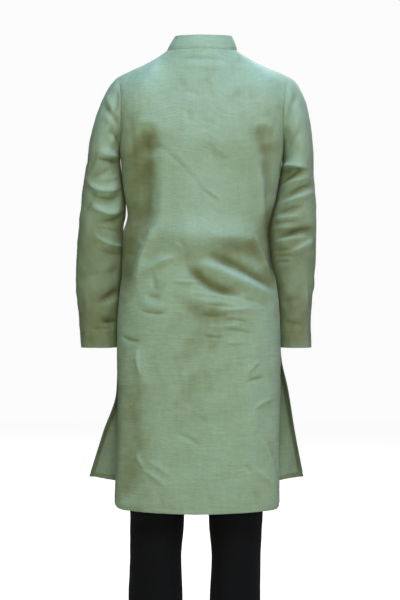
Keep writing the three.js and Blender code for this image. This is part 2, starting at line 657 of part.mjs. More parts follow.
const trousers = new THREE.Group();
trousers.add(pieceMesh("leg_left", wall(legGrid("left"), TROUSER_WALL, { turn: 1 }), BLACK_COTTON));
trousers.add(pieceMesh("leg_right", wall(legGrid("right"), TROUSER_WALL, { turn: -1 }), BLACK_COTTON));
trousers.add(pieceMesh("waistband", wall(waistbandGrid(), WAISTBAND_WALL, { closed: true }), BLACK_COTTON));

const kurtaSet = new THREE.Group();
kurtaSet.add(kurta, trousers);

export default kurtaSet;
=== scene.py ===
# %% [markdown]
# # A kurta and trousers in their worn form
#
# A kurta is a long straight shirt. This one is cut from a back and a front that run from the
# shoulders to the hem in one piece each, two straight sleeves, a standing band collar and a short
# buttoned placket. Straight black trousers are worn under it. Every piece is a thin sheet here,
# shaped by the same sections as its solid, so that both lie on each other in one frame.

# %% Start
import bpy
import numpy as np
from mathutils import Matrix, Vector


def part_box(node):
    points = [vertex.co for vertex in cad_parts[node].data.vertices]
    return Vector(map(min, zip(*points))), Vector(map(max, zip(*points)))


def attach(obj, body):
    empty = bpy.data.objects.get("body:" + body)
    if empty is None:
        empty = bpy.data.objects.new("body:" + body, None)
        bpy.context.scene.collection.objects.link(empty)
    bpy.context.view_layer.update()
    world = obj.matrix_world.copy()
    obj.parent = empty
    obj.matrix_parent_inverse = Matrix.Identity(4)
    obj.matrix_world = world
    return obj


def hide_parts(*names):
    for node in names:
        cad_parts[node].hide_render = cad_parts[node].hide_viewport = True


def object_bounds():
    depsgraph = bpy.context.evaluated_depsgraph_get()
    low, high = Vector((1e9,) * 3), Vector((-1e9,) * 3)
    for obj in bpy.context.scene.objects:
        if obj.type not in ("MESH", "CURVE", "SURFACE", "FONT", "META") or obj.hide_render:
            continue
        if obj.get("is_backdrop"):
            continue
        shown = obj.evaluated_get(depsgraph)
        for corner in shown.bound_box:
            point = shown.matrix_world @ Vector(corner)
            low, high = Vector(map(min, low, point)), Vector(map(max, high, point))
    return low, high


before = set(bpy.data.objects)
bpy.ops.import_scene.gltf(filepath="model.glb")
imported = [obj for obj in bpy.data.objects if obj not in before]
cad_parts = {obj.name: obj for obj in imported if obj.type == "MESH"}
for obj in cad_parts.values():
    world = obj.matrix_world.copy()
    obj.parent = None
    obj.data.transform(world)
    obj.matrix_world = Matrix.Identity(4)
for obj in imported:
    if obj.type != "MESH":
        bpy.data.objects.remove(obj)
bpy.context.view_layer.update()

# %% [markdown]
# Lengths are in millimetres until a surface is turned into a mesh. X runs to the right side of the
# garment as it is worn, Y to its front and Z up, from the middle of the neck opening.

# %% Sizes
MM = 0.001
CLOTH, LEG_CLOTH, WAISTBAND_CLOTH, TURNED_CLOTH = 0.9, 1.2, 2.2, 0.8
SEAM_TUCK, SEAM_HALF, DENT_HALF = 0.5, 2.4, 2.6
NECK_HALF_WIDTH, NECK_SHARE = 82, 0.44
NECK_BACK_DEPTH, NECK_BACK_DROP = 66, 6
NECK_FRONT_DEPTH, NECK_FRONT_DROP = 72, 78
SHOULDER_LEFT, SHOULDER_RIGHT, SHOULDER_DROP, SHOULDER_HOLLOW = 197, 203, 61, 30
CAP_REACH = {"left": 106, "right": 146}
COLLAR_HEIGHT, COLLAR_LEAN, COLLAR_SHIFT, COLLAR_THICK, STITCH_INSET = 34, 15, 4, 1.9, 4
ARMPIT, SLIT_TOP, SLEEVE_RING, CHEST_HALF_WIDTH = -235, -640, -262, 191
OPENING_HALF, OPENING_END = 0.006, -395
PLACKET_WIDTH, PLACKET_END, PLACKET_INSET, PLACKET_OUT = 34, -420, 3, 1.95
HEM_WIDTH, CUFF_HEM_WIDTH, BACK_SLIT_HEM, FRONT_SLIT_HEM = 11, 35, 9, 26
HEM_RAISE, HEM_INSIDE, SLIT_HEM_INSIDE = 0.35, -1.35, -2.4
CUFF_TOP, CUFF_DEPTH = -690, 11
CROTCH, RISE_CURVE, WAIST, WAISTBAND_HEIGHT = -700, 110, -452, 36
TROUSER_MIDDLE, TROUSER_HEM_WIDTH = -8, 28
LEG_HEM_TOP, LEG_HEM_DEPTH = -1350, 35

# %% [markdown]
# The shape of a worn garment changes slowly from the shoulders to the hem, so a few level sections
# describe it. Each table has a row per section, and a smooth curve runs through its rows.

# %% Tables of sections


def table(names, rows):
    """The rows of a table as one array for each named column."""
    return dict(zip(names.split(), np.array(rows, float).T))


SECTION = "height left right edge middle roundness lift"
BACK = table(SECTION, [
    [-235, -192, 191, 0, -118, 0.6, 0],
    [-304, -187.5, 182, 0, -112, 0.9, 0],
    [-352, -180.5, 173.5, 0, -110, 0.95, 0],
    [-387, -175.5, 164.5, 0, -110, 0.95, 0],
    [-434, -185.5, 157, 0, -111, 0.9, 0],
    [-493, -187, 162, 0, -103, 0.85, 0],
    [-545, -191, 175, 0, -109, 0.8, 0],
    [-640, -199, 183, 0, -120, 0.75, 0],
    [-700, -199, 184, -10, -124, 0.7, 0],
    [-824, -196, 181, -35, -128, 0.7, 0],
    [-933, -197, 178, -55, -131, 0.7, 1],
    [-1054, -201, 178, -65, -134, 0.7, 5],
    [-1063, -199.4, 177.2, -66, -134, 0.7, 5.5],
    [-1069, -196.4, 175.6, -66, -134, 0.7, 6],
    [-1072, -191, 172, -66, -134, 0.7, 6],
])
FRONT = table(SECTION, [
    [-235, -192, 191, 0, 122, 0.7, 0],
    [-304, -187.5, 182, 0, 119, 0.9, 0],
    [-352, -180.5, 173.5, 0, 114.5, 0.9, 0],
    [-387, -175.5, 164.5, 0, 110, 0.9, 0],
    [-434, -185.5, 157, 0, 107, 0.9, 0],
    [-493, -187, 162, 0, 108, 0.9, 0],
    [-545, -191, 175, 0, 111, 0.85, 0],
    [-640, -199, 183, 0, 117, 0.7, 0],
    [-720, -200, 187, 14, 121, 0.65, 3],
    [-812, -204, 206, 42, 127, 0.7, 9],
    [-933, -239, 225, 80, 138, 0.8, 25],
    [-1065, -275, 248, 110, 150, 0.9, 46],
])
RING = "height centre half depth halfDepth"
SLEEVES = {
    "left": table(RING, [
        [-262, -232.2, 38.4, 14, 72],
        [-304, -235.2, 46, 28, 70],
        [-352, -234.4, 52.1, 34, 68],
        [-387, -236.6, 54.1, 36, 66],
        [-410, -240.3, 52.8, 37, 64.5],
        [-434, -241.5, 54, 38, 63],
        [-493, -243, 57, 42, 60],
        [-564, -246.9, 53.9, 46, 56],
        [-635, -246.7, 47.2, 50, 51],
        [-701, -246.3, 43.2, 54, 48],
    ]),
    "right": table(RING, [
        [-262, 226.8, 36.3, 12, 72],
        [-304, 225.2, 41.4, 26, 70],
        [-352, 222.6, 48.1, 32, 68],
        [-387, 218.5, 53.6, 34, 66],
        [-434, 215, 57.4, 38, 63],
        [-493, 216.3, 54.8, 42, 60],
        [-564, 221.8, 44.3, 46, 56],
        [-635, 221.8, 38.5, 50, 51],
        [-701, 224.2, 37.7, 54, 48],
    ]),
}
LEGS = {
    "left": table(RING, [
        [-700, -94, 84.5, -8, 88],
        [-800, -100, 76, -5, 80],
        [-960, -105, 66, 0, 68],
        [-1116, -106, 63, -8, 64],
        [-1190, -109, 60, -14, 62],
        [-1292, -109, 63, -12, 62],
        [-1385, -109.5, 63, -6, 62],
    ]),
    "right": table(RING, [
        [-700, 78, 84.5, -8, 88],
        [-800, 80, 76, -5, 80],
        [-960, 79.5, 66, 0, 68],
        [-1116, 79, 62, -8, 64],
        [-1190, 80, 57, -14, 62],
        [-1292, 77.5, 59, -12, 62],
        [-1385, 78, 60, -6, 62],
    ]),
}
HIPS = table("height left right back front", [
    [-416, -146, 133, -73, 88],
    [-452, -148, 135, -75, 89],
    [-480, -153, 139, -77, 91],
    [-560, -166, 151, -85, 95],
    [-640, -175, 160, -98, 92],
    [-700, -175, 159, -98, 80],
])
section_tables = {"back": BACK, "front": FRONT, "hips": HIPS}
print("sections:", {name: len(rows["height"]) for name, rows in section_tables.items()})

# %% [markdown]
# Cloth that hangs on a body folds where it has more length or width than it needs: at the waist,
# where the back hollows, beside the shoulder blades, and at the bend of the elbow. Each fold is a
# row: a bowed line from one point to another, with a half width and a height that is above 0 for
# a ridge and under 0 for a trough. Sharp is 1 for a crease with a crest and 0 for a soft swell.
# Rows of painted light are of the same kind but move no cloth: they paint light and shade into the colour,
# lighter and cooler above 0, such as on the shoulders and the middle of the back, and darker and more olive
# under 0, such as at the sides, low on the sleeves and where sleeve and body meet.

# %% Tables of folds
FOLD = "x1 z1 x2 z2 bow half height sharp"
BACK_FOLDS = table(FOLD, [
    [-124, -205, -128, -252, 0, 25, -9, 0],
    [-132, -250, -146, -440, -4, 24, -7, 0],
    [132, -196, 150, -256, 3, 18, -8, 0],
    [130, -285, 142, -400, -3, 10, 3.5, 0],
    [-100, -412, -150, -548, 8, 14, 6, 0],
    [-158, -440, -176, -560, 4, 13, -4, 0],
    [-70, -440, 112, -440, -4, 32, 9, 0],
    [16, -484, 162, -557, -5, 14, -9, 0],
    [4, -503, 156, -578, -2, 13, 8, 0],
    [-34, -508, 84, -572, 13, 13, -8, 0],
    [-30, -580, 125, -606, 6, 16, 6, 0],
    [-60, -588, 60, -640, 6, 18, -5, 0],
    [-136, -528, -64, -488, -4, 12, 5, 0],
    [-148, -700, -134, -790, 0, 16, 4, 0],
    [-150, -800, -156, -1050, 6, 24, -4, 0],
    [-10, -700, -30, -1060, 10, 34, -4, 0],
    [110, -740, 96, -1060, -6, 26, 4, 0],
])
BACK_CREASES = table(FOLD, [
    [-39, -31, 46, -34, -2, 6, -2.6, 0.5],
    [-52, -47, 66, -49, 3, 8, 1.6, 0.2],
    [-7, -56, 30, -70, 2, 9, -1.6, 0.3],
    [-46, -88, -34, -100, 2, 8, -1.5, 0.3],
    [14, -112, 32, -126, 2, 8, -2, 0.4],
    [-41, -110, -9, -122, -2, 6, -2.6, 0.5],
    [-36, -160, -23, -183, 0, 9, -2.2, 0.3],
    [-4, -174, 23, -183, 2, 7, -2.4, 0.5],
    [2, -190, 12, -202, 0, 9, -1.8, 0.3],
    [10, -232, 50, -304, 6, 20, -3, 0.1],
    [22, -252, 60, -268, 3, 9, -2.4, 0.4],
    [-150, -184, -96, -187, -4, 9, 2.2, 0.2],
    [-144, -200, -106, -202, -4, 13, -3.4, 0.1],
    [-134, -214, -130, -262, 0, 26, -3.6, 0],
    [-94, -236, -96, -420, -3, 14, 3, 0.1],
    [-126, -262, -136, -436, -2, 22, -4.4, 0],
    [-158, -240, -166, -430, 0, 14, -2.6, 0],
    [-114, -235, -84, -248, -2, 6, -1.6, 0.6],
    [-84, -247, -4, -331, -3, 3.4, -1.7, 0.9],
    [-4, -336, 32, -365, -2, 3.6, -2.8, 0.9],
    [-76, -240, 6, -326, -3, 6, 1, 0.4],
    [8, -334, 40, -358, -2, 5, 1.5, 0.5],
    [122, -186, 166, -196, -4, 9, 2.4, 0.3],
    [126, -204, 160, -214, 3, 14, -2, 0.3],
    [132, -292, 141, -394, -3, 6, 3, 0.6],
    [152, -240, 156, -380, 0, 15, -4.6, 0],
    [158, -376, 168, -538, -3, 13, -8, 0.1],
    [-101, -415, -149, -545, 8, 7, 3.4, 0.6],
    [-118, -410, -160, -520, 8, 8, -2.6, 0.4],
    [-150, -450, -134, -464, 0, 5, 2.5, 0.8],
    [-56, -450, -40, -466, 0, 5, -2.8, 0.8],
    [-132, -524, -68, -490, -3, 6, 3.5, 0.7],
    [-122, -538, -76, -510, -3, 9, -1.8, 0.3],
    [-111, -530, -105, -565, 2, 5, -3.5, 0.8],
    [119, -440, 163, -542, -4, 5, 5, 0.9],
    [108, -452, 140, -520, -3, 8, -2.4, 0.4],
    [14, -446, 128, -450, -4, 10, 2.4, 0.4],
    [30, -468, 136, -478, -4, 20, -7.5, 0],
    [20, -486, 159, -554, -6, 9, -6.5, 0.5],
    [6, -508, 140, -572, -4, 15, 6, 0.1],
    [12, -503, 96, -536, -3, 6, 1.8, 0.5],
    [84, -534, 160, -578, -4, 12, 3.6, 0.1],
    [-32, -514, 82, -574, 12, 10, -6.6, 0.4],
    [-44, -484, 8, -494, 4, 15, -3, 0.1],
    [-61, -544, -5, -545, 2, 4.5, 5.2, 0.9],
    [-16, -572, 86, -588, -3, 5, 6, 0.9],
    [96, -584, 150, -602, -2, 6, -2.8, 0.6],
    [-126, -577, -98, -580, 2, 7, -3.6, 0.5],
    [-136, -594, -82, -604, 3, 10, 3.2, 0.3],
    [-136, -614, -84, -617, 2, 4, -5.2, 0.9],
    [8, -600, 66, -604, -2, 4, -4.9, 0.9],
    [40, -611, 110, -606, 2, 4, 4.5, 0.9],
    [4, -622, 58, -620, 2, 4, -4.1, 0.9],
    [52, -632, 104, -638, -2, 4, -4.9, 0.9],
    [14, -646, 78, -644, 2, 4, 4.1, 0.9],
    [60, -656, 112, -664, -2, 4, -4.1, 0.9],
    [2, -668, 44, -672, 2, 4, -3.8, 0.9],
    [56, -684, 96, -682, 1, 4, 3.8, 0.9],
    [-184, -672, -146, -681, 3, 4, -6.8, 0.9],
    [-147, -701, -139, -758, 3, 5, 5.7, 0.9],
    [102, -758, 127, -728, -2, 4.5, 5.1, 0.9],
    [100, -776, 143, -765, -3, 4.5, -4.8, 0.9],
    [120, -833, 159, -815, -3, 5, 4.8, 0.8],
    [-172, -760, -168, -1000, 4, 32, -3.6, 0],
    [-55, -890, -9, -917, -3, 5, -3.9, 0.8],
    [-150, -938, -134, -967, 2, 6, 4.8, 0.8],
    [-134, -974, -84, -1008, -3, 6, 3.8, 0.6],
    [-118, -956, -73, -985, -3, 6, 3.4, 0.6],
    [-178, -972, -164, -1045, 3, 24, -3, 0],
    [98, -962, 110, -977, 0, 5, -4.2, 0.8],
    [120, -974, 166, -1019, -5, 6, 3.8, 0.6],
    [136, -906, 166, -974, -5, 6, 3.4, 0.6],
    [146, -900, 172, -990, -4, 8, -2.6, 0.4],
    [-96, -1026, -92, -1064, 0, 6, -2.4, 0.6],
    [-40, -1032, -44, -1064, 0, 6, 2, 0.6],
    [14, -1028, 18, -1064, 0, 6, -2.2, 0.6],
    [70, -1030, 66, -1064, 0, 6, 2, 0.6],
    [118, -1018, 124, -1062, 0, 7, -2.6, 0.5],
    [-172, -160, -158, -262, -4, 9, -2.4, 0.4],
    [172, -160, 160, -262, 4, 8, -2.2, 0.4],
])
FRONT_FOLDS = table(FOLD, [
    [-150, -250, -60, -420, 12, 20, 5, 0],
    [150, -255, 66, -430, -12, 20, 5, 0],
    [-150, -500, -10, -560, 10, 20, -6, 0],
    [140, -520, 10, -585, -10, 20, 6, 0],
    [-185, -700, -70, -1060, -14, 26, 8, 0],
    [-150, -740, -20, -1060, -8, 24, -7, 0],
    [172, -710, 70, -1060, 12, 26, 8, 0],
    [140, -750, 24, -1060, 8, 24, -7, 0],
    [-226, -850, -180, -1040, 0, 20, -5, 0],
    [216, -860, 176, -1040, 0, 20, -5, 0],
])
FRONT_CREASES = table(FOLD, [
    [-168, -190, -110, -262, 6, 8, -2.4, 0.5],
    [166, -186, 108, -268, -6, 8, -2.2, 0.5],
    [-150, -120, -100, -196, 4, 10, 2.0, 0.3],
    [148, -126, 96, -190, -4, 10, 1.8, 0.3],
    [-158, -300, -40, -392, 8, 8, -2.2, 0.5],
    [150, -310, 44, -405, -8, 8, -2.2, 0.5],
    [-160, -430, -60, -470, 6, 8, 2.6, 0.6],
    [158, -446, 52, -492, -6, 8, 2.4, 0.6],
    [-165, -476, -30, -506, 6, 7, -2.8, 0.6],
    [160, -486, 36, -520, -5, 7, -2.6, 0.5],
    [-120, -520, 20, -540, 4, 8, 2.4, 0.5],
    [120, -556, -16, -572, 4, 8, -2.2, 0.5],
    [-60, -590, 70, -604, -4, 8, 2.0, 0.4],
    [-170, -600, -90, -640, 4, 9, -2.0, 0.4],
    [-190, -760, -120, -920, -6, 10, 2.8, 0.4],
    [178, -770, 110, -930, 6, 10, 2.6, 0.4],
    [-90, -820, -44, -1050, 4, 12, -2.4, 0.2],
    [80, -840, 40, -1050, -4, 12, 2.2, 0.2],
    [-236, -950, -206, -1030, 0, 8, 2.2, 0.4],
    [228, -940, 204, -1030, 0, 8, 2.0, 0.4],
])
TURN = "turn1 z1 turn2 z2 bow half height sharp"
SLEEVE_FOLDS = {
    "left": table(TURN, [
        [26, -251, 112, -247, -3, 9, 5, 0.2],
        [24, -264, 104, -262, 2, 9, -5, 0.2],
        [36, -314, 132, -312, 17, 10, 6, 0.2],
        [38, -342, 116, -346, 12, 10, -6, 0.2],
        [34, -368, 118, -364, 16, 10, 6, 0.2],
        [30, -390, 104, -406, 4, 10, -5, 0.2],
        [22, -462, 104, -438, 6, 11, 4, 0.2],
        [30, -566, 88, -592, 0, 16, -6, 0.2],
        [22, -640, 84, -640, 0, 12, -5, 0.2],
        [230, -330, 320, -352, 10, 16, 6, 0.2],
        [220, -380, 318, -392, 8, 16, -6, 0.2],
        [220, -430, 300, -445, 4, 16, 5, 0.2],
    ]),
    "right": table(TURN, [
        [20, -276, 116, -279, -4, 9, 6, 0.2],
        [20, -288, 104, -292, -2, 9, -6, 0.2],
        [40, -312, 104, -287, -3, 9, -4, 0.2],
        [44, -325, 118, -302, -3, 9, 5, 0.2],
        [50, -350, 148, -318, -3, 10, -6, 0.2],
        [48, -366, 144, -336, -3, 10, 6, 0.2],
        [44, -386, 108, -370, 0, 9, -5, 0.2],
        [56, -441, 146, -421, -3, 11, -7, 0.2],
        [46, -456, 120, -440, -2, 10, 5, 0.2],
        [84, -478, 146, -450, 0, 11, 5, 0.2],
        [230, -330, 320, -352, 10, 16, 6, 0.2],
        [220, -380, 318, -392, 8, 16, -6, 0.2],
        [220, -430, 300, -445, 4, 16, 5, 0.2],
    ]),
}
SLEEVE_CREASES = {
    "left": table(TURN, [
        [130, -103, 90, -155, 0, 6, -7, 0.8],
        [145, -134, 62, -186, 3, 6, -7.4, 0.8],
        [156, -110, 96, -160, 3, 6, 5.4, 0.7],
        [120, -160, 52, -206, 3, 6, 4.6, 0.7],
        [90, -196, 30, -222, 3, 6, -6.4, 0.8],
        [78, -214, 30, -240, 2, 6, 2.4, 0.6],
        [112, -246, 142, -300, 4, 8, -2.6, 0.4],
        [56, -278, 116, -300, 4, 6, -3.0, 0.6],
        [30, -294, 88, -306, 3, 5, 2.6, 0.8],
        [108, -336, 140, -380, 4, 7, -3.0, 0.5],
        [34, -430, 96, -420, -3, 5, -3.0, 0.8],
        [22, -254, 96, -255, -2, 4.5, 6.2, 0.9],
        [24, -262, 104, -262, 2, 5.5, -6.2, 0.8],
        [28, -318, 126, -314, 17, 5, 4.9, 0.8],
        [37, -346, 100, -349, 4, 5, -5.7, 0.8],
        [27, -372, 107, -366, 17, 5, 4.9, 0.8],
        [27, -389, 82, -405, 3, 5.5, -5.1, 0.8],
        [20, -461, 95, -438, 7, 4.5, 4.6, 0.9],
        [24, -478, 90, -470, 5, 7, -2.6, 0.5],
        [40, -516, 112, -528, 4, 9, -2, 0.4],
        [21, -564, 74, -588, 0, 9, -4.6, 0.5],
        [30, -588, 92, -606, 0, 9, 2.6, 0.4],
        [18, -638, 71, -640, 1, 4.5, -5.7, 0.9],
        [40, -654, 108, -656, 1, 4.5, -2.4, 0.8],
        [200, -300, 262, -330, 6, 8, -2.4, 0.5],
        [216, -356, 312, -372, 8, 8, -3, 0.6],
        [210, -404, 300, -416, 6, 8, 2.8, 0.5],
        [206, -470, 290, -484, 4, 10, -2.4, 0.4],
        [214, -560, 300, -572, 4, 10, 2.2, 0.4],
    ]),
    "right": table(TURN, [
        [150, -103, 66, -178, 2, 6, -7, 0.8],
        [124, -106, 60, -166, 2, 6, 4.6, 0.7],
        [130, -150, 70, -214, 3, 8, 2.2, 0.4],
        [104, -196, 44, -236, 2, 6, -4.8, 0.8],
        [128, -232, 96, -262, 0, 8, -2.0, 0.4],
        [18, -275, 113, -281, -4, 4.5, 6.8, 0.9],
        [20, -284, 112, -290, -4, 5.5, -6.5, 0.8],
        [26, -313, 96, -289, -2, 5, -5.4, 0.8],
        [31, -323, 113, -302, -3, 5, 5.1, 0.8],
        [44, -349, 137, -319, -3, 5, -6.2, 0.8],
        [51, -363, 129, -335, -3, 5, 5.7, 0.8],
        [40, -384, 102, -370, -2, 5, -5.4, 0.8],
        [31, -398, 102, -392, -2, 4.5, 3.5, 0.9],
        [31, -410, 102, -405, -2, 4.5, -3.8, 0.9],
        [34, -421, 100, -418, -2, 4.5, 3.2, 0.9],
        [56, -441, 138, -421, -3, 6.5, -6.8, 0.7],
        [46, -450, 117, -438, -2, 4.5, 4.9, 0.8],
        [85, -475, 139, -447, -2, 5.5, 4.6, 0.7],
        [41, -471, 80, -469, 0, 4.5, -3.8, 0.8],
        [41, -485, 84, -483, 0, 4.5, -3.5, 0.8],
        [41, -499, 80, -497, 0, 4.5, -3.2, 0.8],
        [124, -552, 131, -611, 0, 6, 2.6, 0.6],
        [50, -590, 104, -582, 2, 9, -2, 0.4],
        [52, -640, 112, -645, 2, 7, -2.6, 0.5],
        [200, -300, 262, -330, 6, 8, -2.4, 0.5],
        [216, -352, 312, -364, 8, 8, -3, 0.6],
        [210, -400, 300, -410, 6, 8, 2.8, 0.5],
        [206, -474, 290, -490, 4, 10, -2.4, 0.4],
        [214, -564, 300, -572, 4, 10, 2.2, 0.4],
    ]),
}
LEG_FOLDS = table(TURN, [
    [30, -1010, 150, -1040, 8, 18, -5, 0.3],
    [40, -1060, 160, -1075, 8, 16, 5, 0.3],
    [30, -1100, 140, -1110, -6, 16, -5, 0.3],
    [200, -1020, 320, -1000, 8, 18, 4, 0.3],
    [200, -1090, 320, -1080, 6, 16, -4, 0.3],
    [60, -1200, 70, -1380, 5, 22, 5, 0],
    [110, -1210, 104, -1380, -5, 20, -4, 0],
    [250, -1180, 268, -1380, 5, 20, 4, 0.2],
    [300, -1190, 290, -1380, 0, 22, -4, 0],
    [40, -740, 90, -900, 6, 26, 5, 0.1],
    [280, -740, 320, -900, 6, 26, -5, 0.1],
])
PAINTED_LIGHT_ROWS = {
    "back": table(FOLD, [
        [-150, -40, -100, -30, 0, 50, 16, 0],
        [110, -30, 180, -50, 0, 48, 13, 0],
        [-20, -130, -10, -420, 0, 75, 8, 0],
        [-30, -400, 10, -470, 0, 45, 5, 0],
        [-138, -236, -146, -320, 0, 36, -5, 0],
        [-148, -200, -134, -250, 0, 30, -3, 0],
        [-170, -240, -172, -420, 0, 26, -3, 0],
        [-172, -380, -178, -560, 0, 26, -14, 0],
        [-176, -500, -184, -620, 0, 16, -4, 0],
        [160, -390, 164, -560, 0, 34, -15, 0],
        [70, -446, 120, -470, 0, 30, -4, 0],
        [-24, -520, 70, -570, 8, 15, -5, 0],
        [-6, -590, 30, -690, 0, 60, -7, 0],
        [-6, -860, 0, -1070, 0, 85, 9, 0],
        [0, -760, 0, -860, 0, 60, 1, 0],
        [-185, -900, -180, -1050, 0, 30, -1, 0],
    ]),
    "front": table(FOLD, [
        [-215, -780, -240, -1060, 0, 60, 9, 0],
        [205, -780, 225, -1060, 0, 60, 12, 0],
        [0, -130, 0, -420, 0, 80, 6, 0],
    ]),
    "sleeve": table(TURN, [
        [90, -60, 100, -240, 0, 60, 3, 0],
        [90, -400, 90, -560, 0, 110, -9, 0],
        [90, -560, 90, -720, 0, 110, -12, 0],
        [270, -420, 270, -700, 0, 90, -6, 0],
        [0, -230, 0, -690, 0, 26, -38, 0],
        [360, -230, 360, -690, 0, 26, -38, 0],
    ]),
}
counts = [len(rows["half"]) for rows in (BACK_FOLDS, BACK_CREASES, FRONT_FOLDS, FRONT_CREASES, LEG_FOLDS)]
counts += [len(rows[side]["half"]) for rows in (SLEEVE_FOLDS, SLEEVE_CREASES) for side in rows]
print("folds placed by hand:", sum(counts))

# %% [markdown]
# These are the formulas that turn the tables into surfaces. A surface is an array of points in
# rows and columns, so a whole sheet is worked out at once.

# %% Formulas


def soft_step(low, high, value):
    """0 below low, 1 above high and 3s squared minus 2s cubed between them."""
    share = np.clip((value - low) / (high - low), 0, 1)
    return share * share * (3 - 2 * share)


def bell(distance, half):
    """exp of minus the square of the distance over the half width."""
    return np.exp(-((distance / half) ** 2))


def row_at(values, wanted):
    """The place in the values of the one nearest to the wanted one."""
    return int(np.argmin(np.abs(values - wanted)))


def hermite(start, leaving, end, arriving, share):
    """The cubic curve from start to end that has the given tangents at its two ends."""
    s2, s3 = share**2, share**3
    return (2 * s3 - 3 * s2 + 1) * start + (s3 - 2 * s2 + share) * leaving + (
        3 * s2 - 2 * s3) * end + (s3 - s2) * arriving


def read(rows, column, height):
    """A column at any height: cubics through the rows, whose slope at a row is the harmonic mean
    of the slopes to its two neighbours, or 0 where those differ in sign."""
    z, v = -rows["height"], rows[column]
    secant = np.diff(v) / np.diff(z)
    above, below = secant[:-1], secant[1:]
    same = above * below > 0
    inner = np.where(same, 2 * above * below / np.where(same, above + below, 1), 0)
    slope = np.concatenate([secant[:1], inner, secant[-1:]])
    place = np.clip(-np.asarray(height, float), z[0], z[-1])
    i = np.clip(np.searchsorted(z, place) - 1, 0, len(z) - 2)
    span = z[i + 1] - z[i]
    return hermite(v[i], slope[i] * span, v[i + 1], slope[i + 1] * span, (place - z[i]) / span)


def fold_height(folds, a, z, stretch=1.0):
    """The sum of all folds at a place: across each line a bell, exp of minus the square of the
    distance over the half width, or for a sharp crease a peak, exp of minus 1.6 times that share;
    along the line it fades in and out over the first and last third. Stretch is the length in
    millimetres of one step of a."""
    total = np.zeros_like(a)
    for a1, z1, a2, z2, bow, half, height, sharp in zip(*folds.values()):
        dx, dz = (a2 - a1) * stretch, z2 - z1
        length = np.hypot(dx, dz)
        px, pz = (a - a1) * stretch, z - z1
        along = (px * dx + pz * dz) / length**2
        off = np.abs((px * dz - pz * dx) / length - bow * 4 * along * (1 - along)) / half
        fade = soft_step(-0.2, 0.3, along) * soft_step(-0.2, 0.3, 1 - along)
        across = (1 - sharp) * np.exp(-(off**2)) + sharp * np.exp(-1.6 * np.sqrt(off**2 + 0.02))
        total += height * across * fade
    return total


def ripple(a, z, seed, size, count=26, stretch=1.0):
    """Small unevenness: the mean of waves of seeded direction and phase, whose lengths lie within
    a factor of two round size; stretch lengthens them up and down."""
    rng = np.random.default_rng(seed)
    turn, phase = rng.uniform(0, 2 * np.pi, (2, count))
    wave = 2 * np.pi / (size * rng.uniform(0.7, 1.6, count))
    total = np.zeros_like(a)
    for t, p, k in zip(turn, phase, wave):
        total += np.sin(k * (a * np.cos(t) + z / stretch * np.sin(t)) + p)
    return total / np.sqrt(count)


def crumple(a, z, seed, size, stretch=1.0):
    """Small sharp creases: 1 minus the share that the ripple has of 0.3, squared, where the ripple
    is that close to 0, and mostly in patches, where a second ripple of four times the size is high."""
    line = np.maximum(1 - np.abs(ripple(a, z, seed, size, 14, stretch)) / 0.3, 0) ** 2
    return line * soft_step(-0.5, 1.0, ripple(a, z, seed + 50, size * 4, 10))


def relax(grid, share, passes):
    """Evens out the columns: each pass moves the points by that share towards the mean of their two
    neighbours in the row."""
    for _ in range(passes):
        grid = grid.copy()
        grid[:, 1:-1] += share[:, 1:-1, None] * ((grid[:, :-2] + grid[:, 2:]) / 2 - grid[:, 1:-1])
    return grid


def unit(vectors):
    """The vectors at a length of 1."""
    return vectors / np.linalg.norm(vectors, axis=-1, keepdims=True)


def normals_of(grid, closed=False, turn=1):
    """The unit normal at each point: the cross product of the steps along its row and column."""
    if closed:
        sideways = np.roll(grid, -1, axis=1) - np.roll(grid, 1, axis=1)
    else:
        sideways = np.gradient(grid, axis=1)
    upwards = np.gradient(grid, axis=0)
    n = np.cross(sideways, upwards) * turn
    return n / np.maximum(np.linalg.norm(n, axis=-1, keepdims=True), 1e-9)


def lengths_along(grid, axis):
    """The distance covered along rows (axis 1) or columns (axis 0), from the first point on."""
    step = np.linalg.norm(np.diff(grid, axis=axis), axis=-1)
    total = np.cumsum(step, axis=axis)
    pad = [(0, 0), (0, 0)]
    pad[axis] = (1, 0)
    return np.pad(total, pad)


def lengths_from_end(grid):
    """The distance covered along columns, from their last point back."""
    return lengths_along(grid[::-1], 0)[::-1]


def to_nearer_side(run):
    """The shorter of the distances to the two ends of each row."""
    return np.minimum(run, run[:, -1:] - run)


def ring_point(rings, out, turn, height):
    """A level ring: x is the centre less the half width times the cosine of the turn, towards the
    outer side, and y is the depth less the half depth times the sine."""
    return np.stack([read(rings, "centre", height) - out * read(rings, "half", height) * np.cos(turn),
                     read(rings, "depth", height) - read(rings, "halfDepth", height) * np.sin(turn),
                     height + 0 * turn], axis=-1)


def graded(cells, first):
    """Steps from 0 to 1 that start at about first and grow to an even size after the fourth."""
    step = np.minimum(1.0, first * 1.5 ** np.arange(cells))
    return np.concatenate([[0], np.cumsum(step)]) / step.sum()


# %% [markdown]
# The back and front panels are drawn from level sections below the armpits. Above them, a curve
# goes from each place on the armpit's section over to the neckline or to the shoulder seam, and
# the panel's outermost curve is its half of the armhole.

# %% Panel formulas
YOKES = {
    "back": {"out": -1, "low": 60, "high": 320, "rim_pull": 280, "rise": 230, "rim_out": 240, "climb": 120},
    "front": {"out": 1, "low": 45, "high": 300, "rim_pull": 250, "rise": 190, "rim_out": 215, "climb": 100},
}


def section_point(rows, across, height):
    """x is the middle plus half the width times the sine of across times 90 degrees, and y goes
    from the edge's depth to the middle's with the cosine of it raised to the roundness."""
    across, height = np.broadcast_arrays(across, height)
    angle = across * np.pi / 2
    left, right, edge = (read(rows, name, height) for name in ("left", "right", "edge"))
    cosine = np.maximum(np.cos(angle), 1e-9)
    x = (left + right) / 2 + (right - left) / 2 * np.sin(angle)
    y = edge + (read(rows, "middle", height) - edge) * cosine ** read(rows, "roundness", height)
    return np.stack([x, y, height + read(rows, "lift", height) * np.abs(np.sin(angle)) ** 1.3], axis=-1)


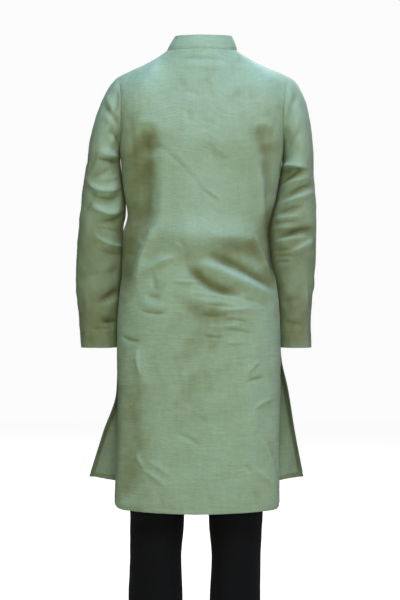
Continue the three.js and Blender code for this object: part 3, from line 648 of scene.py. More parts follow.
def top_edge(front, across):
    """The shoulder seams fall outwards, a little hollow beside the neck; the neckline between them
    is an ellipse in plan that also drops, most at its middle."""
    side, reach = np.sign(across), np.abs(across)
    share = (reach - NECK_SHARE) / (1 - NECK_SHARE)
    tip = np.where(side < 0, SHOULDER_LEFT, SHOULDER_RIGHT)
    x = side * (NECK_HALF_WIDTH + (tip - NECK_HALF_WIDTH) * share)
    drop = share * (SHOULDER_DROP + SHOULDER_HOLLOW * (1 - share) ** 2)
    shoulder = np.stack([x, 0 * x, -drop], axis=-1)
    angle = np.clip(across / NECK_SHARE, -1, 1) * np.pi / 2
    inward = np.maximum(np.cos(angle), 0)
    depth, drop, bend = ((NECK_FRONT_DEPTH, NECK_FRONT_DROP, 1.3) if front
                         else (-NECK_BACK_DEPTH, NECK_BACK_DROP, 1))
    neck = np.stack([NECK_HALF_WIDTH * np.sin(angle), depth * inward, -drop * inward**bend], axis=-1)
    return np.where((reach > NECK_SHARE)[..., None], shoulder, neck)


def yoke_point(front, rows, across, share):
    """A cubic from the armpit's section to the top edge. Its tangents lean outwards the more the
    curve lies to the side, which rounds the shoulder and draws the armhole."""
    across, share = np.broadcast_arrays(across, share)
    yoke = YOKES["front" if front else "back"]
    reach, side = np.abs(across), np.sign(across)
    rim = reach**6
    over = soft_step(0.2, 0.55, reach)
    beside = soft_step(0, NECK_SHARE, reach) * (1 - soft_step(NECK_SHARE, 0.85, reach))
    pull = yoke["low"] + (yoke["high"] - yoke["low"]) * over
    pull = pull + (yoke["rim_pull"] - pull) * rim
    start = section_point(rows, across, np.full(across.shape, float(ARMPIT)))
    slope = (start - section_point(rows, across, np.full(across.shape, ARMPIT - 6.0))) / 6
    rise = yoke["rise"] * (1 - rim) + 120 * rim
    follow = rise * (1 - rim)
    leaving = np.stack([slope[..., 0] * follow - side * rim * 28,
                        slope[..., 1] * follow + yoke["out"] * rim * yoke["rim_out"], rise], axis=-1)
    climb = yoke["climb"] + (90 - yoke["climb"]) * over
    arriving = np.stack([side * (rim * 28 - beside * 80), -yoke["out"] * pull, climb], axis=-1)
    return hermite(start, leaving, top_edge(front, across), arriving, share[..., None])


def columns_across(rows, inner, neck_cells, shoulder_cells):
    """Places from the centre of a half panel to its side, at even distances round the section at
    chest height, with a column at the neck's end and finer ones beside the side seam."""
    probe = inner + (1 - inner) * np.sin(np.linspace(0, 1, 4001) * np.pi / 2)
    run = lengths_along(section_point(rows, probe, np.full(probe.shape, -300.0))[None], 1)[0]
    neck = np.interp(NECK_SHARE, probe, run)
    inside = np.interp(np.linspace(0, neck, neck_cells + 1), run, probe)
    outside = np.interp(run[-1] - (run[-1] - neck) * graded(shoulder_cells, 0.3)[::-1], run, probe)
    inside[-1] = NECK_SHARE
    return np.concatenate([inside, outside[1:]])


NECK_CELLS, SHOULDER_CELLS = 27, 36
YOKE_CELLS, BODY_CELLS, SLIT_CELLS = 70, 134, 138


def panel(front):
    """The middle surface of a body panel, from the hem up, with its folds laid on."""
    rows = FRONT if front else BACK
    folds = FRONT_FOLDS if front else BACK_FOLDS
    creases = FRONT_CREASES if front else BACK_CREASES
    hem = rows["height"][-1]
    half = columns_across(rows, OPENING_HALF if front else 0.0, NECK_CELLS, SHOULDER_CELLS)
    across = np.concatenate([-half[::-1], half]) if front else np.concatenate([-half[:0:-1], half])
    if front:
        across = -across
    low = hem + (SLIT_TOP - hem) * graded(SLIT_CELLS, 0.35)
    heights = np.concatenate([low[:-1], np.linspace(SLIT_TOP, ARMPIT, BODY_CELLS + 1)])
    shares = 1 - graded(YOKE_CELLS, 0.3)[::-1]
    body = section_point(rows, across[None, :], heights[:, None])
    yoke = yoke_point(front, rows, across[None, :], shares[1:, None])
    grid = np.concatenate([body, yoke])
    share = np.concatenate([0 * heights, shares[1:]])[:, None]
    calm = (1 - np.abs(across) ** 6) * (1 - share**2)
    grid = relax(grid, 0.5 * calm * soft_step(0, 0.2, share) * (1 - soft_step(0.8, 0.98, share)), 40)
    normal = normals_of(grid)
    x, z = grid[..., 0], grid[..., 2]
    big = fold_height(folds, x, z) * calm
    fade = soft_step(0, 16, to_nearer_side(lengths_along(grid, 1))) * soft_step(0, 9, lengths_from_end(grid))
    small = fold_height(creases, x, z) * fade
    uneven = ripple(x, z, 11 if front else 7, 46, stretch=1.7) * 0.5 + ripple(x, z, 5, 17) * 0.14
    below = 0.45 + 0.55 * soft_step(-380, -560, z) + 0 * share
    fine = below * (1.2 * crumple(x, z * 2.4, 61, 36) - 1.1 * crumple(x, z * 1.9, 71, 27))
    small, uneven = small + 0.7 * fine * fade, uneven + 0.3 * fine
    shape = grid + normal * (big + small + uneven * fade)[..., None]
    # Painted light: the folds' troughs painted darker and their ridges lighter, and the rows of painted
    # light and shade; the two ripples are a random mottle of the dye.
    painted_light_and_mottle = fold_height(PAINTED_LIGHT_ROWS["front" if front else "back"], x, z)
    painted_light_and_mottle = painted_light_and_mottle + 1.8 * ripple(x, z, 91, 55) + ripple(x, z, 92, 22)
    depth = 0.45 if front else 1.0
    return {"grid": shape, "across": across, "heights": heights, "shares": shares,
            "painted_light": depth * (big + 1.6 * small) + painted_light_and_mottle, "front": front, "yoke": len(heights) - 1,
            "slit": row_at(heights, SLIT_TOP)}


back, front = panel(False), panel(True)
print("back and front grids:", back["grid"].shape[:2], front["grid"].shape[:2])

# %% [markdown]
# A seam draws the cloth in: along it both pieces dip together and leave a fine groove. A hem is
# the cloth turned inwards twice and stitched down, so its zone is a little thicker, with a dent
# where the stitches lie and small puckers between them.

# %% Seams and hems
SHADE_BESIDE_SEAM = 38


def finish_panel(piece):
    """Moves the panel along its normal: inwards at seams with a bell 2.4 mm wide, outwards on the
    hems by a third of a millimetre, and inwards along the hems' stitch lines."""
    grid = piece["grid"]
    normal = normals_of(grid)
    slit_hem = FRONT_SLIT_HEM if piece["front"] else BACK_SLIT_HEM
    run = lengths_along(grid, 1)
    side = to_nearer_side(run)
    hem = lengths_along(grid, 0)
    row = np.arange(len(grid))[:, None]
    sewn = np.where(row >= piece["slit"], bell(side, SEAM_HALF), 0)
    sewn = np.maximum(sewn, bell(lengths_from_end(grid), SEAM_HALF))
    near = np.where(row < piece["slit"], side, 99.0)
    pucker = 0.28 * ripple(run, hem, 3, 13)
    hemmed = HEM_RAISE * (1 - soft_step(HEM_WIDTH - 1, HEM_WIDTH + 2, hem))
    hemmed = np.maximum(hemmed, HEM_RAISE * (1 - soft_step(slit_hem - 1, slit_hem + 2, near)))
    dent = bell(hem - HEM_WIDTH, DENT_HALF) + bell(near - slit_hem, SEAM_HALF)
    zone = bell(hem - HEM_WIDTH, 12) + 0.6 * bell(near - slit_hem, 9)
    move = hemmed - 0.45 * dent + pucker * zone - SEAM_TUCK * sewn
    pull = -1.6 * bell(side - 5, 4.5) * np.where(row >= piece["yoke"], 1, 0)
    move = move + pull * (0.35 + 0.65 * np.maximum(ripple(hem, 0 * hem, 8, 20), 0)) * 0.5
    piece["grid"] = grid + normal * move[..., None]
    piece["normal"] = normals_of(piece["grid"])
    beside = SHADE_BESIDE_SEAM * bell(side, 8) * ((row >= piece["slit"]) & (row < piece["yoke"]))
    # Painted shade: the seams, the stitch dents and a band beside the side seams are made darker in colour.
    piece["painted_light"] = piece["painted_light"] - 0.6 * sewn - 2.2 * dent - beside
    piece["hem"], piece["side"], piece["run"], piece["slit_hem"] = hem, side, run, slit_hem


for piece in (back, front):
    finish_panel(piece)
print("hem of the back, end to end:", round(back["run"][0, -1]), "mm")

# %% [markdown]
# The sleeve's cap leaves the armhole and turns down into the arm's tube. Its columns start on the
# points of the two panels' side curves, so that sleeve and body stay together along the seam.

# %% Sleeves and collar
CAP_CELLS, TUBE_CELLS, CUFF_CELLS = 26, 150, 7
MM_PER_DEGREE = 1.05


def sleeve(side):
    """A tube whose columns go round from the underarm (0 degrees) over the back: first a cubic
    from the armhole to the ring below it, then rings with sine and cosine down to the cuff."""
    rings = SLEEVES[side]
    out = -1 if side == "left" else 1

    def edge(piece):
        """The panel's half of the armhole on this side, from the armpit up."""
        column = 0 if np.sign(piece["across"][0]) == out else -1
        return piece["grid"][piece["yoke"]:, column]

    start = np.concatenate([edge(back), edge(front)[-2:0:-1]])
    shares = np.concatenate([back["shares"], 2 - front["shares"][-2:0:-1]])
    turns = shares * np.pi
    over = (1 - np.cos(turns)) / 2
    grow = graded(CAP_CELLS, 0.25)[:-1, None]
    cuff = CUFF_TOP - CUFF_DEPTH * (1 - graded(CUFF_CELLS, 0.2)[::-1])
    heights = np.concatenate([np.linspace(SLEEVE_RING, CUFF_TOP, TUBE_CELLS)[:-1], cuff])
    sideways = out * (14 + (CAP_REACH[side] - 14) * over)
    leaving = np.stack([sideways, -12 * np.sin(turns), -16 - 44 * over], axis=-1)
    arriving = np.stack([0 * over, 0 * over, -24 - 176 * over], axis=-1)
    first = ring_point(rings, out, turns[None], np.full((1, 1), float(SLEEVE_RING)))
    cap = hermite(start[None], leaving[None], first, arriving[None], grow[..., None])
    grid = np.concatenate([cap, ring_point(rings, out, turns[None, :], heights[:, None])])
    normal = normals_of(grid, True, -out)
    degrees = np.broadcast_to(np.degrees(turns)[None], grid.shape[:2])
    from_underarm = 180 - np.abs(180 - degrees)
    around = degrees * MM_PER_DEGREE
    clear = soft_step(20, 50, from_underarm)
    from_top, from_end = lengths_along(grid, 0), lengths_from_end(grid)
    z = grid[..., 2]
    big = fold_height(SLEEVE_FOLDS[side], degrees, z, MM_PER_DEGREE) * clear * soft_step(4, 22, from_top)
    small = fold_height(SLEEVE_CREASES[side], degrees, z, MM_PER_DEGREE)
    small = small * soft_step(8, 28, from_underarm) * soft_step(2, 12, from_top)
    uneven = ripple(around, z, 21 + out, 40) * 0.6 + ripple(around, z, 4, 15) * 0.12
    fine = 0.6 * crumple(around, z * 1.6, 63 + out, 30) - 0.5 * crumple(around, z, 73 + out, 22)
    small = small + fine * clear * soft_step(6, 20, from_top)
    dent = bell(from_end - CUFF_HEM_WIDTH, DENT_HALF)
    sewn = bell(from_top, SEAM_HALF)
    gather = 0.9 * np.maximum(ripple(np.broadcast_to(start[None, :, 2], z.shape), 0 * z, 31, 24), 0)
    gather = gather * bell(from_top - 9, 7) * clear
    under = bell(from_underarm, 1.6) * soft_step(6, 20, from_top)
    move = big + small + uneven * clear * soft_step(0, 12, from_top) - 0.45 * dent + gather
    move = move + 0.3 * (1 - soft_step(CUFF_HEM_WIDTH - 1, CUFF_HEM_WIDTH + 2, from_end)) - 0.7 * under
    grid = grid + normal * move[..., None]
    grid[0] = start + 0.25 * normal[0]
    # Painted light: the folds' troughs painted darker and their ridges lighter, the rows of painted light
    # and shade, painted shade in the cuff's stitch dent and at the armhole seam, and a random mottle of the
    # dye.
    painted_light_and_mottle = fold_height(PAINTED_LIGHT_ROWS["sleeve"], degrees, z, MM_PER_DEGREE) + 1.4 * ripple(around, z, 93 + out, 40)
    return {"grid": grid, "painted_light": big + 1.6 * small + painted_light_and_mottle - 2.4 * dent - 0.6 * sewn, "turn": -out,
            "normal": normals_of(grid, True, -out), "end": from_end}


def collar_surface():
    """A band that stands on the neckline: each column rises by the collar's height and leans in
    towards the neck with the share of the height raised to 1.3; its front corners are rounded."""
    def neck(piece, sign):
        """The panel's neckline, or only its half on the side of the sign."""
        inside = np.abs(piece["across"]) <= NECK_SHARE + 1e-6
        keep = inside & (np.sign(piece["across"]) == sign) if sign else inside
        order = np.argsort(piece["across"][keep])
        return piece["grid"][-1, keep][order]

    ahead_right, ahead_left, behind = neck(front, 1), neck(front, -1), neck(back, 0)[::-1]
    foot = np.concatenate([ahead_right[:-1], behind, ahead_left[1:]])
    run = lengths_along(foot[None], 1)[0]
    ends = to_nearer_side(run[None])[0]
    tall = COLLAR_HEIGHT - 9 * np.maximum(1 - ends / 13, 0) ** 2
    share = np.concatenate([graded(18, 0.3) * 0.5, 1 - graded(18, 0.3)[::-1][1:] * 0.5])
    inward = unit(-foot * [1, 1, 0])
    rise = share[:, None] * tall[None]
    grid = foot[None] + inward[None] * (COLLAR_LEAN * (rise / COLLAR_HEIGHT) ** 1.3)[..., None]
    grid = grid + rise[..., None] * np.array([COLLAR_SHIFT / COLLAR_HEIGHT, 0, 1.0])
    around = np.broadcast_to(run[None], rise.shape)
    wavy = 0.5 * ripple(around, rise, 17, 60) + 0.15 * ripple(around, rise, 18, 16)
    line = bell(rise - STITCH_INSET, 1.2) + bell(tall - rise - STITCH_INSET, 1.2)
    normal = normals_of(grid, False, -1)
    grid = grid + normal * ((wavy * soft_step(0, 8, rise)) - 0.3 * line)[..., None]
    grid[0] = foot
    # Painted shade along the stitch lines and at the collar's foot, where it meets the panels.
    return {"grid": grid, "turn": -1, "normal": normals_of(grid, False, -1), "rise": rise,
            "painted_light": -0.8 * line - 1.5 * bell(rise, 2.0), "tall": tall}


sleeves = {side: sleeve(side) for side in ("left", "right")}
collar = collar_surface()
print("sleeve grids:", [s["grid"].shape[:2] for s in sleeves.values()], "collar:", collar["grid"].shape[:2])

# %% [markdown]
# The placket is a pair of narrow bands on the slot at the centre front. They are made from the
# front panel's own formula and moved out or in, so they follow the chest.

# %% Placket


def placket_surface(distance, end, top):
    """The front panel's surface within half a band of its centre line, moved along its normal."""
    half = PLACKET_WIDTH / 2 / (NECK_HALF_WIDTH * np.pi / 2 / NECK_SHARE)
    heights = np.linspace(end, ARMPIT, 56)
    shares = np.linspace(0, top, 46)[1:]
    across = np.linspace(half, -half, 13)
    narrow = NECK_HALF_WIDTH / NECK_SHARE / CHEST_HALF_WIDTH
    low = section_point(FRONT, across[None, :] * narrow, heights[:, None])
    widen = narrow + (1 - narrow) * shares[:, None]
    high = yoke_point(True, FRONT, across[None, :] * widen, shares[:, None])
    grid = np.concatenate([low, high])
    share = np.concatenate([0 * heights, shares])[:, None]
    lift = fold_height(FRONT_FOLDS, grid[..., 0], grid[..., 2]) * (1 - share**2)
    grid = grid + lift[..., None] * np.array([0, 1.0, 0])
    run = lengths_along(grid, 1)
    edge = to_nearer_side(run)
    normal = normals_of(grid)
    line = bell(edge - PLACKET_INSET, 1.3)
    grid = grid + normal * (distance - 0.25 * line + 0.25 * ripple(run, grid[..., 2], 41, 40))[..., None]
    # Painted shade along the stitch lines.
    return {"grid": grid, "turn": 1, "normal": normals_of(grid), "painted_light": -0.8 * line, "edge": edge}


placket_upper = placket_surface(PLACKET_OUT, PLACKET_END, 0.97)
placket_under = placket_surface(-PLACKET_OUT, PLACKET_END + 12, 0.95)

# %% [markdown]
# Each trouser leg is one piece of cloth: half of the hips above, and a tube below that closes
# along the inseam. The two curved edges above the crotch meet in the seat seam.

# %% Trousers
LEG_COLUMNS, LEG_MM_PER_DEGREE = 97, 1.1


def hip_point(side, share, height):
    """Half of a level section from the centre back (0) to the centre front (1)."""
    angle = share * np.pi
    depth = np.where(share < 0.5, read(HIPS, "back", height), read(HIPS, "front", height))
    x = TROUSER_MIDDLE + (read(HIPS, side, height) - TROUSER_MIDDLE) * np.sin(angle)
    return np.stack([x, depth * np.abs(np.cos(angle)) ** 0.75, height + 0 * share], axis=-1)


def leg(side):
    """Below the crotch rings with sine and cosine; above it the ring at the crotch goes over into
    the hips with a quarter circle of the height."""
    rings = LEGS[side]
    out = -1 if side == "left" else 1
    share = np.linspace(0, 1, LEG_COLUMNS)[None, :]
    turn = share * 2 * np.pi
    upper = np.concatenate([np.linspace(WAIST, -660, 40), np.linspace(-662, CROTCH + 0.5, 16)])[:, None]
    hem = LEG_HEM_TOP - LEG_HEM_DEPTH * np.linspace(0, 1, 12)
    lower = np.concatenate([np.linspace(CROTCH, LEG_HEM_TOP, 110)[:-1], hem])[:, None]
    rise = np.clip((upper - CROTCH) / RISE_CURVE, 0, 1)
    bend = np.sqrt(1 - (1 - rise) ** 2)[..., None]
    start = ring_point(rings, out, turn, np.full(upper.shape, float(CROTCH)))
    start[..., 2] = upper
    hips = start * (1 - bend) + hip_point(side, share + 0 * upper, upper + 0 * share) * bend
    grid = np.concatenate([hips, ring_point(rings, out, turn, lower)])
    normal = normals_of(grid, False, -out)
    degrees = np.broadcast_to(share * 360, grid.shape[:2])
    z = grid[..., 2]
    calm = soft_step(5, 40, 180 - np.abs(180 - degrees)) * soft_step(0, 60, WAIST - 40 - z)
    move = fold_height(LEG_FOLDS, degrees, z, LEG_MM_PER_DEGREE) * calm
    move = move + 0.7 * ripple(degrees * LEG_MM_PER_DEGREE, z, 51 + out, 60) * calm
    from_end = lengths_from_end(grid)
    dent = bell(from_end - TROUSER_HEM_WIDTH, DENT_HALF)
    outseam = bell(degrees - 180, 1.7)
    move = move - 0.4 * dent - 0.8 * outseam
    grid = grid + normal * move[..., None]
    # Painted shade and highlight: lighter on the folds' ridges, darker in their troughs, in the hem's stitch
    # dent and along the outseam.
    return {"grid": grid, "turn": -out, "normal": normals_of(grid, False, -out),
            "painted_light": move - dent - outseam, "end": from_end}


def waistband_surface():
    """Both halves of the hips' section, joined to a ring, over the band's height."""
    height = np.linspace(WAIST + 0.4, WAIST + WAISTBAND_HEIGHT, 14)[:, None]
    share = np.linspace(0, 1, LEG_COLUMNS)[None, :]
    halves = [hip_point(side, share + 0 * height, height + 0 * share) for side in ("right", "left")]
    grid = np.concatenate([halves[0], halves[1][:, -2:0:-1]], axis=1)
    return {"grid": grid, "turn": 1, "normal": normals_of(grid, True, 1), "painted_light": 0 * grid[..., 0]}


legs = {side: leg(side) for side in ("left", "right")}
waistband = waistband_surface()
print("leg grid:", legs["left"]["grid"].shape[:2], "waistband:", waistband["grid"].shape[:2])

# %% [markdown]
# A surface becomes a mesh with a UV map in metres of cloth, so that threads keep one size on
# every piece. A Solidify modifier gives it the cloth's thickness to both sides.

# %% Meshes


def add(name, data):
    """A new object of that name with the data, in the scene."""
    obj = bpy.data.objects.new(name, data)
    bpy.context.scene.collection.objects.link(obj)
    return obj


def on(piece, rows, columns):
    """The points of the piece in those rows and columns, and their normals."""
    return piece["grid"][rows, columns], piece["normal"][rows, columns]


def joined(values):
    """The values with their first column once more at the end, which closes a ring."""
    return np.concatenate([values, values[:, :1]], axis=1)


def smooth(mesh):
    """Shades all faces of the mesh smoothly."""
    mesh.polygons.foreach_set("use_smooth", np.ones(len(mesh.polygons), bool))
    mesh.update()


def cloth(name, piece, closed=False, keep=None, thickness=CLOTH):
    """One quad between four neighbouring points, with u and v as the distances along the row at mid height
    and along each column; a painted light value on each point paints shade into troughs and light onto
    ridges."""
    grid = piece["grid"]
    rows, columns = grid.shape[:2]
    index = np.arange(rows * columns).reshape(rows, columns)
    ring, full = (joined(index), joined(grid)) if closed else (index, grid)
    u, v = lengths_along(full, 1), lengths_along(full, 0)
    u = u - u[:, u.shape[1] // 2:u.shape[1] // 2 + 1]
    uv = np.stack([u, v], axis=-1) * MM
    corners = [(slice(None, -1), slice(None, -1)), (slice(None, -1), slice(1, None)),
               (slice(1, None), slice(1, None)), (slice(1, None), slice(None, -1))]
    if piece.get("turn", 1) < 0:
        corners = corners[::-1]
    quads = np.stack([ring[c] for c in corners], axis=-1).reshape(-1, 4)
    coords = np.stack([uv[c] for c in corners], axis=-2).reshape(-1, 4, 2)
    if keep is not None:
        quads, coords = quads[keep.reshape(-1)], coords[keep.reshape(-1)]
    mesh = bpy.data.meshes.new(name)
    mesh.from_pydata((grid.reshape(-1, 3) * MM).tolist(), [], quads.tolist())
    layer = mesh.uv_layers.new(name="cloth_metres")
    layer.data.foreach_set("uv", coords.reshape(-1).astype(np.float32))
    painted_light = mesh.attributes.new("painted_light", "FLOAT", "POINT")
    painted_light.data.foreach_set("value", piece["painted_light"].reshape(-1).astype(np.float32))
    smooth(mesh)
    obj = add(name, mesh)
    solid = obj.modifiers.new("cloth_thickness", "SOLIDIFY")
    solid.thickness, solid.offset = thickness * MM, 0
    solid.use_rim = True
    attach(obj, "root")
    return obj


def strip(piece, rows, columns, distance):
    """Part of a panel's surface, moved along its normal, painted with the value -7: the darker, more olive
    shade of a trough.
    """
    grid, normal = on(piece, rows, columns)
    return {"grid": grid + normal * distance, "painted_light": np.full(grid.shape[:2], -7.0)}


slot = np.ones((front["grid"].shape[0] - 1, front["grid"].shape[1] - 1), bool)
slot[row_at(front["heights"], OPENING_END):, front["grid"].shape[1] // 2 - 1] = False
objects = {
    "back_panel": cloth("kurta_back", back),
    "front_panel": cloth("kurta_front", front, keep=slot),
    "sleeve_left": cloth("kurta_sleeve_left", sleeves["left"], closed=True),
    "sleeve_right": cloth("kurta_sleeve_right", sleeves["right"], closed=True),
    "collar": cloth("kurta_collar", collar, thickness=COLLAR_THICK),
    "placket_upper": cloth("kurta_placket_upper", placket_upper),
    "placket_under": cloth("kurta_placket_under", placket_under),
    "leg_left": cloth("trouser_leg_left", legs["left"], thickness=LEG_CLOTH),
    "leg_right": cloth("trouser_leg_right", legs["right"], thickness=LEG_CLOTH),
    "waistband": cloth("trouser_waistband", waistband, closed=True, thickness=WAISTBAND_CLOTH),
}
for node, obj in objects.items():
    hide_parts(node)
print({name: len(obj.data.polygons) for name, obj in objects.items()})

# %% [markdown]
# The hem and the slits' edges are turned inwards. Their inner strips show at the front panel's
# two lower corners, where the cloth swings out behind the back panel.

# %% Turned hems


def hem_strips(piece, label):
    """The panel's rows within the hem's width, and its columns within the slit hem's width."""
    top = int(np.argmax(piece["hem"][:, piece["hem"].shape[1] // 2] >= HEM_WIDTH))
    run = piece["side"][piece["slit"] // 2]
    first = int(np.argmax(run >= piece["slit_hem"]))
    last = len(run) - 1 - int(np.argmax(run[::-1] >= piece["slit_hem"]))
    up = slice(0, piece["slit"] + 1)
    parts = {
        "hem": (slice(0, top + 1), slice(None), HEM_INSIDE),
        "slit_hem_a": (up, slice(0, first + 1), SLIT_HEM_INSIDE),
        "slit_hem_b": (up, slice(last, None), SLIT_HEM_INSIDE),
    }
    made = [cloth(f"kurta_{label}_{name}", strip(piece, *place), thickness=TURNED_CLOTH)
            for name, place in parts.items()]
    return made, top, first, last


back_hems, back_top, back_first, back_last = hem_strips(back, "back")
front_hems, front_top, front_first, front_last = hem_strips(front, "front")
print("turned hems:", len(back_hems) + len(front_hems))

# %% [markdown]
# Stitches are short lengths of thread that stand a little above the cloth. Each is a small
# spindle of twelve faces, and all stitches of a piece are one mesh.

# %% Stitches


def between(spots, run, values):
    """The values, given along the run, at the spots: straight lines between each two."""
    return np.stack([np.interp(spots, run, values[:, k]) for k in range(3)], axis=-1)


def stitches(name, lines, pitch=3.6, length=2.7, width=0.26, lift=0.55):
    """Along each line of points a spindle every pitch: two points on the line and two rings of
    four round it, with the ring's axes along the surface normal and across the line."""
    frames = []
    for points, normals in lines:
        run = lengths_along(points[None], 1)[0]
        spots = np.arange(pitch, run[-1] - pitch / 2, pitch)
        at, n = between(spots, run, points), unit(between(spots, run, normals))
        ahead = unit(between(spots + 1, run, points) - at)
        frames.append((at + n * lift, ahead, np.cross(n, ahead), n))
    centre, along, across, up = (np.concatenate(values) for values in zip(*frames))
    ring = np.array([[a, w * width * 0.5, h * width * 0.5] for a in (-0.28, 0.28) for w, h in
                     ((2.0, 0), (0, 1.6), (-2.0, 0), (0, -1.6))]) * [length, 1, 1]
    template = np.concatenate([[[-length / 2, 0, -0.35]], ring, [[length / 2, 0, -0.35]]])
    points = centre[:, None] + template[None, :, :1] * along[:, None]
    points = points + template[None, :, 1:2] * across[:, None] + template[None, :, 2:] * up[:, None]
    tips = [[0, 2, 1], [0, 3, 2], [0, 4, 3], [0, 1, 4], [5, 6, 9], [6, 7, 9], [7, 8, 9], [8, 5, 9]]
    sides = [[1, 2, 6, 5], [2, 3, 7, 6], [3, 4, 8, 7], [4, 1, 5, 8]]
    offset = (np.arange(len(centre)) * len(template))[:, None, None]
    triangles, quads = np.array(tips)[None] + offset, np.array(sides)[None] + offset
    mesh = bpy.data.meshes.new(name)
    mesh.from_pydata((points.reshape(-1, 3) * MM).tolist(), [],
                     triangles.reshape(-1, 3).tolist() + quads.reshape(-1, 4).tolist())
    smooth(mesh)
    obj = add(name, mesh)
    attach(obj, "root")
    return obj, len(centre)


def panel_lines(piece, top, first, last):
    """The stitch lines of the hem and of the two slit hems."""
    below = slice(top, piece["slit"] + 1)
    return [on(piece, top, slice(first, last + 1)), on(piece, below, first), on(piece, below, last)]


def loop(piece, row):
    """A whole row of a closed piece, back to its first point."""
    points, normals = on(piece, row, slice(None))
    return np.concatenate([points, points[:1]]), np.concatenate([normals, normals[:1]])


cuff_lines = [loop(s, row_at(s["end"][:, 30], CUFF_HEM_WIDTH)) for s in sleeves.values()]
rise, tall = collar["rise"][:, 60], collar["tall"][60]
collar_lines = [on(collar, row_at(way, STITCH_INSET), slice(2, -2)) for way in (rise, tall - rise)]
inset = row_at(placket_upper["edge"][60, :6], PLACKET_INSET)
placket_lines = [on(placket_upper, slice(1, -1), column) for column in (inset, 12 - inset)]
placket_lines += [on(placket_upper, row, slice(1, -1)) for row in (1, 9)]
sewing = {
    "back": stitches("stitches_back", panel_lines(back, back_top, back_first, back_last)),
    "front": stitches("stitches_front", panel_lines(front, front_top, front_first, front_last)),
    "cuffs": stitches("stitches_cuffs", cuff_lines),
    "collar": stitches("stitches_collar", collar_lines, lift=1.05),
    "placket": stitches("stitches_placket", placket_lines),
}
leg_lines = [on(leg_piece, row_at(leg_piece["end"][:, 30], TROUSER_HEM_WIDTH), slice(None))
             for leg_piece in legs.values()]
band_lines = [loop(waistband, row) for row in (1, 12)]
dark_sewing = {
    "trousers": stitches("stitches_trousers", leg_lines, lift=0.7),
    "waistband": stitches("stitches_waistband", band_lines, lift=1.2),
}
print({name: count for name, (_, count) in {**sewing, **dark_sewing}.items()}, "stitches")

# %% [markdown]
# Linen is woven from yarn of uneven thickness. The weave itself is too fine to see from a few
# steps away, but the thicker lengths of yarn, the slubs, show as faint streaks along both
# directions. One node group makes both from the UV map, and every linen piece uses it.

# %% Shader groups


def group(name, inputs, outputs):
    """An empty shader node group with named inputs, given as (name, type, value), and outputs."""
    tree = bpy.data.node_groups.new(name, "ShaderNodeTree")
    for label, kind, value in inputs:
        socket = tree.interface.new_socket(name=label, in_out="INPUT", socket_type=kind)
        if value is not None:
            socket.default_value = value
    for label, kind in outputs:
        tree.interface.new_socket(name=label, in_out="OUTPUT", socket_type=kind)
    return tree, tree.nodes.new("NodeGroupInput"), tree.nodes.new("NodeGroupOutput")


def join(tree, made, links):
    """Feeds a node: links are (input name or number, source socket or value)."""
    for key, source in links:
        if isinstance(source, bpy.types.NodeSocket):
            tree.links.new(source, made.inputs[key])
        else:
            made.inputs[key].default_value = source


def node(tree, kind, links=(), **settings):
    """A new node with its settings and its links."""
    made = tree.nodes.new(kind)
    for key, value in settings.items():
        setattr(made, key, value)
    join(tree, made, links)
    return made


def maths(tree, operation, *values, clamp=False):
    """The result of one arithmetic node."""
    made = node(tree, "ShaderNodeMath", list(enumerate(values)), operation=operation, use_clamp=clamp)
    return made.outputs[0]


def product(tree, a, b, clamp=False):
    """a times b."""
    return maths(tree, "MULTIPLY", a, b, clamp=clamp)


def total(tree, *values):
    """The sum of the values, added from left to right."""
    result = values[0]
    for value in values[1:]:
        result = maths(tree, "ADD", result, value)
    return result


def mixed(tree, share, a, b):
    """A colour between a (share 0) and b (share 1)."""
    return node(tree, "ShaderNodeMix", [(0, share), (6, a), (7, b)], data_type="RGBA").outputs[2]


def stretched_noise(tree, u, v, coarse, fine, seed, detail):
    """Noise whose grains are long where the scale is coarse and short where it is fine."""
    across, along = product(tree, u, coarse), product(tree, v, fine)
    place = node(tree, "ShaderNodeCombineXYZ", [(0, across), (1, along), (2, seed)])
    links = [("Vector", place.outputs[0]), ("Scale", 1.0), ("Detail", detail)]
    return node(tree, "ShaderNodeTexNoise", links).outputs[0]


def streaks(tree, u, v, fine, coarse, seed, low, high):
    """Noise stretched along one thread direction, cut to its highest parts."""
    noise = stretched_noise(tree, u, v, coarse, fine, seed, 2.0)
    links = [("Value", noise), ("From Min", low), ("From Max", high)]
    return node(tree, "ShaderNodeMapRange", links).outputs[0]


weave, weave_in, weave_out = group("woven_cloth", [
    ("Place", "NodeSocketVector", None), ("Threads", "NodeSocketFloat", 1500.0),
    ("Slubs", "NodeSocketFloat", 1.0), ("Crinkles", "NodeSocketFloat", 3.0),
], [("Height", "NodeSocketFloat"), ("Shade", "NodeSocketFloat")])
split = node(weave, "ShaderNodeSeparateXYZ", [(0, weave_in.outputs["Place"])])
u, v = split.outputs[0], split.outputs[1]
half_turn = product(weave, weave_in.outputs["Threads"], 3.14159)
over, under = (maths(weave, "SINE", product(weave, way, half_turn)) for way in (u, v))
check = product(weave, over, under)
weft = streaks(weave, u, v, 620.0, 14.0, 3.0, 0.5, 0.78)
warp = streaks(weave, v, u, 520.0, 16.0, 8.0, 0.58, 0.86)
broad = streaks(weave, u, v, 170.0, 16.0, 5.0, 0.3, 0.75)
cross = streaks(weave, v, u, 120.0, 30.0, 9.0, 0.35, 0.8)
slubs = product(weave, total(weave, weft, warp), weave_in.outputs["Slubs"])
crumpled = stretched_noise(weave, u, v, 42.0, 135.0, 2.0, 3.0)
gap = maths(weave, "ABSOLUTE", maths(weave, "SUBTRACT", crumpled, 0.5))
crinkle = maths(weave, "SUBTRACT", 1.0, product(weave, gap, 9.0), clamp=True)
raised = product(weave, crinkle, weave_in.outputs["Crinkles"])
weave.links.new(total(weave, product(weave, check, 0.5), slubs, raised), weave_out.inputs["Height"])
fine_shade = total(weave, product(weave, slubs, 0.28), product(weave, check, 0.12))
# Painted shade: the crinkles are made darker as well as raised.
fine_shade = maths(weave, "SUBTRACT", fine_shade, product(weave, crinkle, 0.12))
broad_shade = product(weave, total(weave, broad, cross), 0.2)
weave.links.new(total(weave, fine_shade, broad_shade), weave_out.inputs["Shade"])

